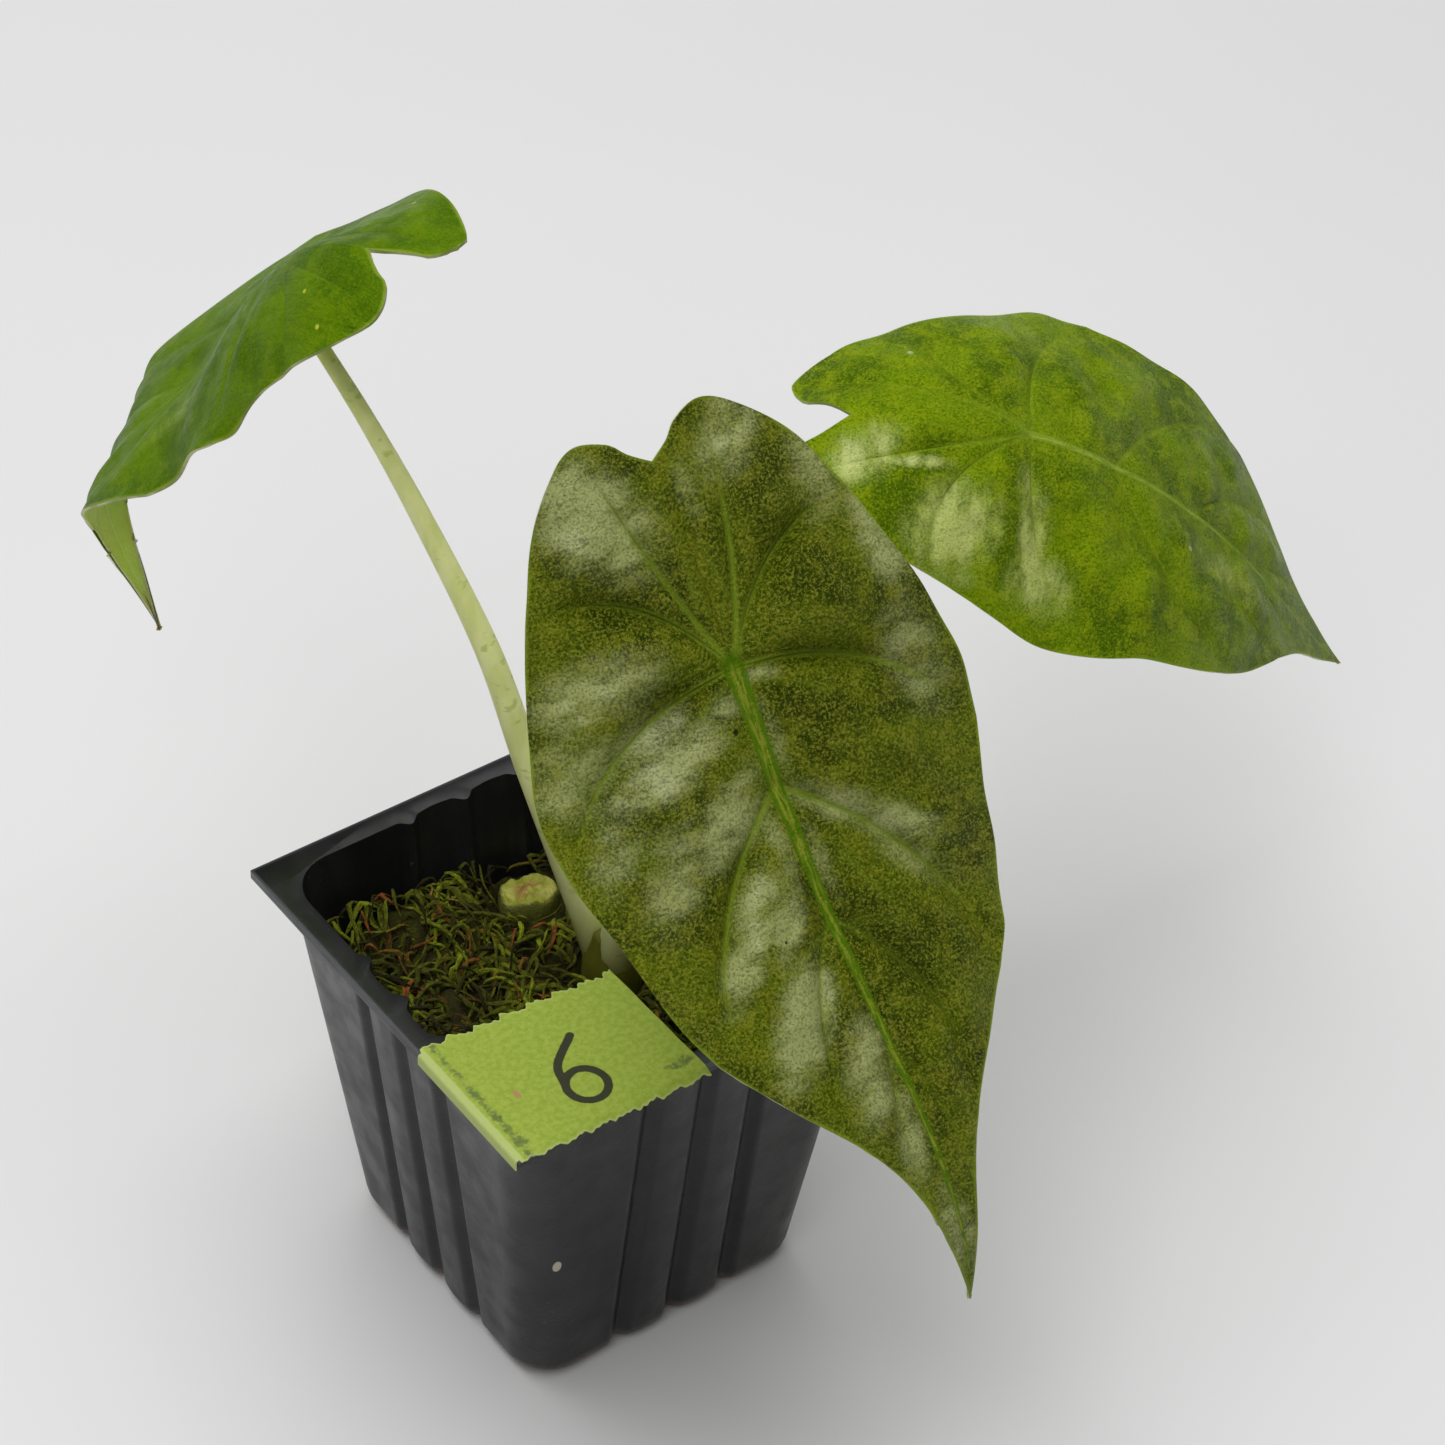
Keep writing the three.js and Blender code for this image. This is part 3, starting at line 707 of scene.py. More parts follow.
@dataclass(frozen=True)
class PotFinish(Finish):
    """Black satin plastic: dust, a pale fleck, a brown tide mark low down and a painted highlight along the
    rim's top outer edge.
    """

    black: Colour
    worn: Colour
    tide: Colour
    fleck: Colour
    # Colour of the painted highlight: a thin lighter line along the rim's top outer edge.
    painted_rim_highlight: Colour
    fleck_place: Triple = (-0.0185, -0.0223, 0.0241)

    def paint(self, g: Graph) -> dict[str, object]:
        """Give the shader's inputs by name."""
        where = g.place()
        flow = g.grain(g.stretched(where, (1, 1, 0.18)), 160.0, 3.0)
        base = g.blend(g.between(flow, 0.35, 0.7), self.black, self.worn)
        base = g.blend(g.speckle(where, 1300.0, 90.0, -0.2), base, self.fleck, 0.12)
        axes = g.node("ShaderNodeSeparateXYZ", {0: where}).outputs
        patches = g.between(g.grain(where, 150.0, 3.0), 0.3, 0.6)
        stain = g.times(g.between(axes["Z"], 0.0034, 0.0008), patches)
        base = g.blend(stain, base, self.tide, 0.75)
        spot = g.stretched(g.vector("SUBTRACT", where, self.fleck_place).outputs[0], (1.5, 1.5, 0.8))
        reach = g.vector("LENGTH", spot).outputs["Value"]
        base = g.blend(g.between(reach, 0.0009, 0.0007), base, self.fleck)
        side = g.sums("MAXIMUM", g.sums("ABSOLUTE", axes["X"]), g.sums("ABSOLUTE", axes["Y"]))
        # Painted highlight along the rim's top outer edge.
        painted_rim_highlight = g.times(g.between(side, 0.02705, 0.02735), g.between(axes["Z"], 0.0513, 0.0517))
        return {
            "Base Color": g.blend(painted_rim_highlight, base, self.painted_rim_highlight, 0.7),
            "Roughness": g.between(g.grain(where, 240.0, 4.0), 0.3, 0.7, 0.3, 0.44),
            "Normal": g.bump(g.relief(where, 1500.0, 0.5), 0.05, 0.5),
            "Specular IOR Level": 0.36,
        }


@dataclass(frozen=True)
class MossFinish(Finish):
    """Damp moss: each strand has its own tone, from near black over olive to straw."""

    dark: Colour
    olive: Colour
    bright: Colour
    straw: Colour
    rust: Colour

    def paint(self, g: Graph) -> dict[str, object]:
        """Give the shader's inputs by name."""
        where, tone = g.place(), g.mark("tone")
        base = self.dark
        for low, high, shade in (
            (0.0, 0.4, self.olive), (0.4, 0.7, self.bright), (0.74, 0.84, self.rust), (0.88, 0.97, self.straw)
        ):
            base = g.blend(g.between(tone, low, high), base, shade)
        patch = g.between(g.grain(where, 130.0, 3.0), 0.35, 0.65)
        base = g.blend(g.sums("SUBTRACT", 1.0, patch), base, self.dark, 0.7)
        mottle = g.between(g.grain(where, 1500.0, 3.0), 0.35, 0.7, 0.0, 0.5)
        return {
            "Base Color": g.blend(mottle, base, self.dark),
            "Roughness": 0.75,
            "Specular IOR Level": 0.2,
            "Normal": g.bump(g.relief(where, 1500.0, 0.8), 0.4, 0.9),
        }


@dataclass(frozen=True)
class CutFinish(Finish):
    """A cut stalk: yellow-green flesh with a brown heart and a dull green rind."""

    flesh: Colour
    bright: Colour
    heart: Colour
    rind: Colour

    def paint(self, g: Graph) -> dict[str, object]:
        """Give the shader's inputs by name."""
        where = g.place()
        base = g.blend(g.between(g.grain(where, 420.0, 3.0), 0.38, 0.62), self.flesh, self.bright)
        heart = g.times(g.mark("heart"), g.between(g.grain(where, 600.0, 3.0), 0.4, 0.6))
        return {
            "Base Color": g.blend(g.mark("rind"), g.blend(heart, base, self.heart), self.rind),
            "Roughness": 0.55,
            "Normal": g.bump(g.relief(where, 900.0, 0.6), 0.3, 0.8),
        }


@dataclass(frozen=True)
class TapeFinish(Finish):
    """Matt lime crepe tape that shows the dark rim where it clings, with a number inked on it."""

    lime: Colour
    light: Colour
    fold: Colour
    shade: Colour
    ink: Colour
    seed: Colour

    def paint(self, g: Graph) -> dict[str, object]:
        """Give the shader's inputs by name."""
        where = g.place()
        fibre = g.grain(where, 1400.0, 4.0, 0.65)
        base = g.blend(g.between(fibre, 0.36, 0.64), self.lime, self.light)
        base = g.blend(g.mark("fold"), base, self.fold, 0.85)
        rough = g.sums("SUBTRACT", g.grain(where, 1100.0, 4.0, 0.7), 0.5)
        wet = g.between(g.sums("ADD", g.mark("cling"), rough), 0.45, 0.72)
        base = g.blend(wet, base, self.shade, 0.72)
        base = g.blend(g.between(g.mark("edge"), 0.35, 0.1, 0.0, 0.6), base, self.fold)
        frayed = g.sums("ADD", g.mark("ink"), g.times(g.grain(where, 1800.0), 0.12))
        base = g.blend(g.between(frayed, 0.13, 0.0), base, self.ink, 0.95)
        crepe = g.grain(g.stretched(where, (0.45, 1, 1)), 1500.0, 3.0, 0.6)
        return {
            "Base Color": g.blend(g.between(g.mark("seed"), 0.45, 0.3), base, self.seed),
            "Roughness": 0.78,
            "Normal": g.bump(crepe, 0.14, 0.7),
        }


@dataclass(frozen=True)
class FloorFinish(Finish):
    """A plain pale studio floor."""

    pale: Colour

    def paint(self, g: Graph) -> dict[str, object]:
        """Give the shader's inputs by name."""
        dull = tuple(c * 0.985 for c in self.pale)
        clouds = g.between(g.grain(g.place(), 6.0), 0.3, 0.7)
        return {"Base Color": g.blend(clouds, dull, self.pale), "Roughness": 0.6}


# The pot


@dataclass
class SquarePot:
    """A thin square pot with rounded, fluted sides and a flat square rim. Sizes in mm.

    `fine` is the spacing of the outline's points, and `reach` how far they go from a side's middle.
    """

    height: float = RIM
    rim_half: float = 27.5
    rim_thickness: float = 1.2
    top_half: float = 25.6
    base_half: float = 19.8
    corner_top: float = 5.0
    corner_base: float = 5.5
    wall: float = 0.9
    base_round: float = 3.0
    floor: float = 1.7
    foot_height: float = 0.5
    foot_radius: float = 2.2
    foot_offset: float = 13.4
    middle_foot_radius: float = 4.6
    fine: float = 0.385
    reach: float = 10.02
    flute_pitch: float = 7.7
    flute_half_width: float = 1.5
    flute_depth: float = 1.0
    lobe_swell: float = 0.35
    drain_radius: float = 2.6
    drain_offset: float = 9.5
    edge_round: float = 0.22

    def half(self, z: float) -> float:
        """Half of the body's side at a height."""
        low = max(0.0, self.base_round - z)
        rounded = self.base_round - math.sqrt(self.base_round**2 - low**2)
        share = z / self.height
        return self.base_half + (self.top_half - self.base_half) * share - rounded

    def corner(self, z: float) -> float:
        """Radius of the body's corners at a height."""
        return self.corner_base + (self.corner_top - self.corner_base) * z / self.height

    def profile(self, along: Array) -> Array:
        """How far the fluted side stands out or in, by the place along it."""
        out = np.zeros_like(along)
        for middle in (-self.flute_pitch, 0.0, self.flute_pitch):
            near = np.clip(np.abs(along - middle) / self.flute_half_width, 0, 1)
            out -= self.flute_depth * (0.5 + 0.5 * np.cos(math.pi * near)) ** 0.8
        gap = np.abs(along)
        bulge = self.lobe_swell * np.sin(math.pi * (gap % self.flute_pitch) / self.flute_pitch) ** 2
        return out + np.where(gap < self.flute_pitch, bulge, 0)

    def stations(self, half: float, corner: float) -> Array:
        """Outline of one side, from one corner's middle to just before the next.

        Args:
            half: half of the side.
            corner: the corner's radius.

        Returns:
            Rows of place along the side and distance out from the pot's middle.
        """
        turn = np.radians(np.linspace(45, 0, 9))
        flat = half - corner
        arc_along = -flat - corner * np.sin(turn)
        arc_out = flat + corner * np.cos(turn)
        reach = self.flute_pitch + self.flute_half_width
        side = np.interp(np.linspace(-1, 1, 62), [-1, -0.8, 0.8, 1], [-flat, -reach, reach, flat])[1:-1]
        along = np.concatenate([arc_along, side, -arc_along[::-1][:-1]])
        away = np.concatenate([arc_out, half + self.profile(side), arc_out[::-1][:-1]])
        return np.stack([along, away], 1)

    @staticmethod
    def round_pot(side: Array, z: float) -> Array:
        """Turn one side's stations into a closed ring at a height, its first point repeated."""
        ring = []
        for quarter in range(4):
            along, out = side[:, 0], side[:, 1]
            x, y = [(along, -out), (out, along), (-along, out), (-out, -along)][quarter]
            ring.append(np.stack([x, y, np.full_like(x, z)], 1))
        closed = np.concatenate(ring)
        return np.concatenate([closed, closed[:1]])

    def body_ring(self, z: float, inset: float = 0.0, level: Optional[float] = None) -> Array:
        """One closed ring of the fluted body, drawn in by an inset."""
        side = self.stations(self.half(z) - inset, self.corner(z))
        return self.round_pot(side, z if level is None else level)

    def outline(self, half: float, level: float) -> bpy.types.Object:
        """Model the body's outline as a flat face: rounded corners, then flutes with swells between.

        Args:
            half: half of the outline's side.
            level: its height.

        Returns:
            The face, in edit mode.
        """
        flat = self.fine * round((half - self.corner_base) / self.fine)
        clear_selection()
        bpy.ops.mesh.primitive_plane_add(size=2 * half * MM)
        pot = bpy.context.object
        bpy.ops.object.mode_set(mode="EDIT")
        bpy.ops.transform.translate(value=(0, 0, level * MM))
        bpy.ops.mesh.bevel(offset=(half - flat) * MM, segments=8, affect="VERTICES")
        bpy.ops.mesh.select_all(action="SELECT")
        bpy.ops.mesh.delete(type="ONLY_FACE")
        on_side = lambda p: np.abs(np.abs(p[:, :2]).max(1) - half) < CLOSE
        pick(pot, on_side)
        bpy.ops.mesh.subdivide(number_cuts=round(2 * flat / self.fine) - 1)
        spare = lambda near: (near > self.reach) & (near < flat - 0.05)
        pick(pot, lambda p: on_side(p) & spare(np.abs(p[:, :2]).min(1)))
        bpy.ops.mesh.dissolve_verts()
        pitch = self.flute_pitch
        flutes = ((-pitch, 0.0, pitch), -self.flute_depth, self.flute_half_width + 0.1)
        swells = ((-pitch / 2, pitch / 2), self.lobe_swell, pitch / 2)
        for places, depth, width in (flutes, swells):
            for axis, sign in SIDES:
                gap = lambda p: np.abs(p[:, 1 - axis, None] - np.array(places)).min(1)
                pick(pot, lambda p: (sign * p[:, axis] > half - 0.2) & (gap(p) < self.fine / 2 - CLOSE))
                bpy.ops.transform.translate(
                    value=on_axis(axis, sign * depth * MM), use_proportional_edit=True,
                    proportional_edit_falloff="SMOOTH", proportional_size=width * MM,
                    use_proportional_connected=True,
                )
        bpy.ops.mesh.select_all(action="SELECT")
        bpy.ops.mesh.edge_face_add()
        return pot

    def raise_face(self, pot: bpy.types.Object, level: float, target: float, out: float) -> None:
        """Extrude the top face up to a height and move its sides out.

        Args:
            pot: the block, in edit mode.
            level: the face's height.
            target: its new height.
            out: how far each side moves out.
        """
        pick(pot, lambda p: at_level(p, level))
        extrude_up(target - level)
        for axis, sign in SIDES:
            pick(pot, lambda p: at_level(p, target) & (sign * p[:, axis] > self.reach + 0.6))
            bpy.ops.transform.translate(value=on_axis(axis, sign * out * MM))

    def block(self, name: str, levels: Sequence[tuple[float, float]]) -> bpy.types.Object:
        """Model a solid block with the body's fluted sides.

        Args:
            name: the block's name.
            levels: height and half of the side of each outline, from the lowest up.

        Returns:
            The block, in edit mode.
        """
        pot = self.outline(levels[0][1], levels[0][0])
        pot.name = name
        for (level, half), (target, wider) in zip(levels, levels[1:]):
            self.raise_face(pot, level, target, wider - half)
        return pot

    def add_rim(self, pot: bpy.types.Object, under: float) -> None:
        """Draw the block's top face out to the square rim and give the rim its thickness."""
        knee = self.half(under) - self.corner_base * (1 - math.sqrt(0.5)) - 0.2
        step = 0.4
        pick(pot, lambda p: at_level(p, under))
        extrude_up(step)
        for axis, sign in SIDES:
            pick(pot, lambda p: at_level(p, under + step) & (sign * p[:, axis] > knee))
            edge = on_axis(axis, sign * self.rim_half * MM)
            bpy.ops.transform.resize(value=on_axis(axis, 0.0, 1.0), center_override=edge)
        pick(pot, lambda p: at_level(p, under + step))
        bpy.ops.transform.translate(value=(0, 0, -step * MM))
        pick(pot, lambda p: at_level(p, under) & (np.abs(p[:, :2]).max(1) > self.rim_half - CLOSE))
        extrude_up(self.rim_thickness)

    def posts(self, places: Sequence[Triple], bottom: float, top: float) -> bpy.types.Object:
        """Model upright posts, each given by place and radius, as one piece."""
        made = []
        for x, y, radius in places:
            clear_selection()
            bpy.ops.mesh.primitive_cylinder_add(
                vertices=48, radius=radius * MM, depth=(top - bottom) * MM,
                location=(x * MM, y * MM, (bottom + top) / 2 * MM),
            )
            made.append(bpy.context.object)
        post = join(made, "posts")
        take(post)
        bpy.ops.object.transform_apply(location=True, rotation=True, scale=True)
        return post

    def cut(self, pot: bpy.types.Object, other: bpy.types.Object, operation: str) -> None:
        """Join another piece to the pot, or cut it out, and remove it."""
        apply_modifier(pot, "BOOLEAN", operation=operation, object=other, solver="EXACT")
        bpy.data.objects.remove(other)

    def build(self) -> bpy.types.Object:
        """Model the pot and return it. Levels lie close together where the base is rounded."""
        under = self.height - self.rim_thickness
        rounded = (self.foot_height, 0.8, 1.2, 1.7, 2.3, self.base_round)
        pot = self.block("pot_fluted", [(z, self.half(z)) for z in (*rounded, 16.0, 34.0, under)])
        self.add_rim(pot, under)
        tidy_mesh(pot)
        inside = [(self.floor, self.half(1.5) - self.wall - 0.3)]
        levels = (2.4, self.base_round + 1, 28.0, self.height + 2)
        inside += [(z, self.half(z) - self.wall) for z in levels]
        room = self.block("pot_room", inside)
        tidy_mesh(room)
        self.cut(pot, room, "DIFFERENCE")
        spread = [(x, y) for x in (-1, 1) for y in (-1, 1)]
        holes = [(x * self.drain_offset, y * self.drain_offset, self.drain_radius) for x, y in spread]
        self.cut(pot, self.posts(holes, -1.0, self.floor + 1), "DIFFERENCE")
        feet = [(x * self.foot_offset, y * self.foot_offset, self.foot_radius) for x, y in spread]
        feet += [(0.0, 0.0, self.middle_foot_radius)]
        self.cut(pot, self.posts(feet, 0.0, self.foot_height + 0.4), "UNION")
        apply_modifier(
            pot, "BEVEL", width=self.edge_round * MM, segments=2, limit_method="ANGLE",
            angle_limit=math.radians(48), use_clamp_overlap=True,
        )
        tidy_mesh(pot)
        return pot

    def dress(self, pot: bpy.types.Object) -> None:
        """Give the pot its plastic and hand it over."""
        finish = PotFinish(
            "pot_plastic", black=(0.006, 0.006, 0.0065), worn=(0.013, 0.013, 0.014),
            # The last colour is a painted highlight on the rim's top outer edge.
            tide=(0.13, 0.05, 0.022), fleck=(0.5, 0.46, 0.36), painted_rim_highlight=(0.08, 0.085, 0.095),
        )
        hand_over(pot, "pot", 35, finish)


# The moss


@dataclass
class MossBed:
    """A bed of moss strands in the pot, free round the crown and the stub. Sizes in mm."""

    pot: SquarePot
    level: float = RIM - 13.4
    relief: float = 1.3
    kept_free: tuple[tuple[tuple[float, float], float], ...] = ((CROWN_PLACE, 4.0), (STUB_PLACE, 3.9))
    strands: int = 1900
    strand_sides: int = 5
    strand_rings: int = 8
    bank: float = 5.5
    seed: int = 11

    def surface(self, x: Array, y: Array) -> Array:
        """Height of the bed, banked up at the far side and round the stub."""
        swells = np.sin(0.31 * x + 0.9) * np.cos(0.27 * y - 0.4) + np.sin(0.55 * y + 0.43 * x + 2.1)
        far = np.clip((y - 8) / 14, 0, 1) ** 1.5 * np.clip((14 - x) / 20, 0, 1)
        side = 0.6 * np.clip((-x - 12) / 11, 0, 1) ** 1.5
        away = np.hypot(x - STUB_PLACE[0], y - STUB_PLACE[1])
        around = np.exp(-((np.maximum(away - 4.2, 0) / 2.5) ** 2))
        banked = self.bank * np.maximum(far, side) * (1 - around)
        return self.level + self.relief * 0.5 * swells + banked + 1.3 * around

    def build_bed(self) -> bpy.types.Object:
        """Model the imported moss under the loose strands."""
        inset = self.pot.wall + 0.3
        edge = self.level - 2.5
        bottom = self.pot.floor + 0.3
        lowest = self.pot.body_ring(2.1, inset + 0.4, bottom)
        rings = [lowest * [0, 0, 1], lowest]
        rings += [self.pot.body_ring(z, inset) for z in (4.5, 14, 26, edge)]
        top = self.pot.body_ring(edge, inset)
        for share in np.concatenate([np.linspace(0.985, 0.1, 34), [0.0]]):
            ring = top * [share, share, 1]
            lumps = 0.9 * swell(ring, 5.0, 3.1) + 0.45 * swell(ring, 2.0, 4.2)
            rise = min(1.0, (1 - share) / 0.1)
            level = self.surface(ring[:, 0], ring[:, 1]) - 0.6 + lumps
            ring[:, 2] = edge + (level - edge) * rise
            for (cx, cy), radius in self.kept_free:
                away = np.hypot(ring[:, 0] - cx, ring[:, 1] - cy)
                ring[:, 2] -= 1.5 * np.clip((radius + 0.6 - away) / 1.0, 0, 1)
            rings.append(ring)
        points = np.stack(rings, 1)
        points[:, -1] = points[:, -1].mean(0)
        tone = np.clip(0.12 + 0.1 * swell(points, 4.0, 9.0), 0, 0.3)
        return lattice("moss_bed", points, {"tone": tone})

    def strand(self, rng: np.random.Generator, table: Array) -> Optional[Array]:
        """Shape one strand.

        Args:
            rng: the draw.
            table: rows of the master's points: place round it and place along it.

        Returns:
            The strand's points in mm, or None where it would meet the plant.
        """
        reach = self.pot.half(self.level) - self.pot.wall - 1.4
        x, y = rng.uniform(-reach, reach, 2)
        heading = rng.uniform(0, 2 * math.pi)
        length = rng.uniform(2.2, 7.5)
        rise = rng.uniform(0.4, 2.4)
        bend = rng.normal(0, 1.3)
        radius = rng.uniform(0.12, 0.36)
        t = np.linspace(0, 1, self.strand_rings)
        turn = heading + bend * (t - 0.5) + 0.3 * np.sin(9 * t + rng.uniform(0, 6))
        step = length / (self.strand_rings - 1)
        px = x + np.cumsum(np.cos(turn)) * step - np.cos(heading) * length / 2
        py = y + np.cumsum(np.sin(turn)) * step - np.sin(heading) * length / 2
        px, py = np.clip(px, -reach, reach), np.clip(py, -reach, reach)
        for (cx, cy), keep in self.kept_free:
            if np.min(np.hypot(px - cx, py - cy)) < keep + 0.2:
                return None
        pz = self.surface(px, py) - 0.7 + rise * np.sin(math.pi * t) ** 0.8 + rng.uniform(-0.3, 0.6)
        path = np.stack([px, py, pz], 1)
        ahead = np.gradient(path, axis=0)
        ahead /= np.linalg.norm(ahead, axis=1, keepdims=True) + 1e-9
        across = np.cross(ahead, [0, 0, 1.0])
        across /= np.linalg.norm(across, axis=1, keepdims=True) + 1e-9
        up = np.cross(across, ahead)
        thin = radius * (0.35 + 0.65 * np.sin(math.pi * np.clip(t, 0.06, 0.94)))
        thin = thin * (1 + 0.25 * np.sin(17 * t + length))
        thin[[0, -1]] = 0.02  # the ends close to a point
        along = table[:, 1].astype(int)
        angle = table[:, 0] * 2 * math.pi
        size = thin[along]
        return (
            path[along]
            + across[along] * (np.cos(angle) * size)[:, None]
            + up[along] * (np.sin(angle) * size)[:, None] * 0.8
        )

    def build_strands(self) -> bpy.types.Object:
        """Model one strand, then copy it over the bed."""
        shares, rows = np.arange(self.strand_sides + 1) / self.strand_sides, np.arange(self.strand_rings)
        around, along = np.meshgrid(shares, rows * 1.0, indexing="ij")
        shape = np.stack([np.cos(around * 2 * math.pi), np.sin(around * 2 * math.pi), along], 2)
        master = lattice("moss_strand", shape, {"around": around, "along": along})
        table = np.stack([read_mark(master.data, key) for key in ("around", "along")], 1)
        rng = np.random.default_rng(self.seed)
        shapes, tones = [], []
        while len(shapes) < self.strands:
            made = self.strand(rng, table)
            if made is not None:
                shapes.append(made)
                tones.append(rng.beta(1.3, 1.7))
        return copies(master, shapes, tones, "moss_strands")

    def build(self) -> bpy.types.Object:
        """Model the bed with its strands as one piece."""
        return join([self.build_bed(), self.build_strands()], "moss_strands")

    def dress(self, moss: bpy.types.Object) -> None:
        """Give the moss its tones and hand it over."""
        finish = MossFinish(
            "moss_mix", dark=(0.018, 0.014, 0.002), olive=(0.14, 0.16, 0.006), bright=(0.32, 0.38, 0.014),
            straw=(0.55, 0.4, 0.1), rust=(0.32, 0.1, 0.02),
        )
        hand_over(moss, "moss", 60, finish)


# The leaves

# The margin of a half, in shares of the length, at whole steps from the notch to the tip.
OUTLINE_X = [
    -0.33, -0.35, -0.375, -0.39, -0.365, -0.3, -0.2, -0.1, 0, 0.1, 0.2, 0.3, 0.4, 0.5, 0.6, 0.7, 0.8, 0.9, 1,
]
OUTLINE_Y = [
    0, 0.03, 0.055, 0.1, 0.145, 0.2, 0.247, 0.283, 0.312, 0.336, 0.327, 0.3, 0.28, 0.247, 0.193, 0.118, 0.06,
    0.028, 0,
]


@dataclass(frozen=True)
class Vein:
    """One vein of a half: where it leaves the midrib, its bend, its end's step and its strength."""

    start: float
    bend: tuple[float, float]
    end: float
    strength: float


VEINS = [
    Vein(0, (-0.165, 0), 0, 0),
    Vein(0, (-0.135, 0.06), 3, 1),
    Vein(0, (-0.19, 0.1), 6.3, 0.8),
    Vein(0, (0.01, 0.22), 10, 1),
    Vein(0.18, (0.31, 0.19), 13.4, 1),
    Vein(0.38, (0.52, 0.13), 15.1, 0.4),
    Vein(0.58, (0.71, 0.06), 16.5, 0.3),
    Vein(1, (1, 0), 18, 0),
]
MINOR_VEINS = [
    ((-0.1, 0.025), (-0.14, 0.02), (-0.23, 0.01)),
    ((0.02, 0.02), (0.05, 0.08), (0.1, 0.14)),
    ((0.3, 0.05), (0.38, 0.08), (0.48, 0.12)),
    ((0.4, 0.03), (0.42, 0.08), (0.46, 0.12)),
]
VEIN_TABLE = np.array([(vein.start, *vein.bend, vein.end) for vein in VEINS])
LAST_VEIN = len(VEINS) - 1
# Places along the midrib, in shares of the length, where a blade's angles are given.
PITCH_KNOTS = [-0.35, 0, 0.25, 0.5, 0.75, 1]
TURN_KNOTS = [-0.35, 0, 0.5, 1]
FOLD_KNOTS = [-0.35, 0, 0.4, 1]


@dataclass(frozen=True)
class HalfBlade:
    """Droop of a half at the midrib and its further turn over 0.3 of the length, in degrees."""

    fold: tuple[float, ...]
    curl: tuple[float, ...]


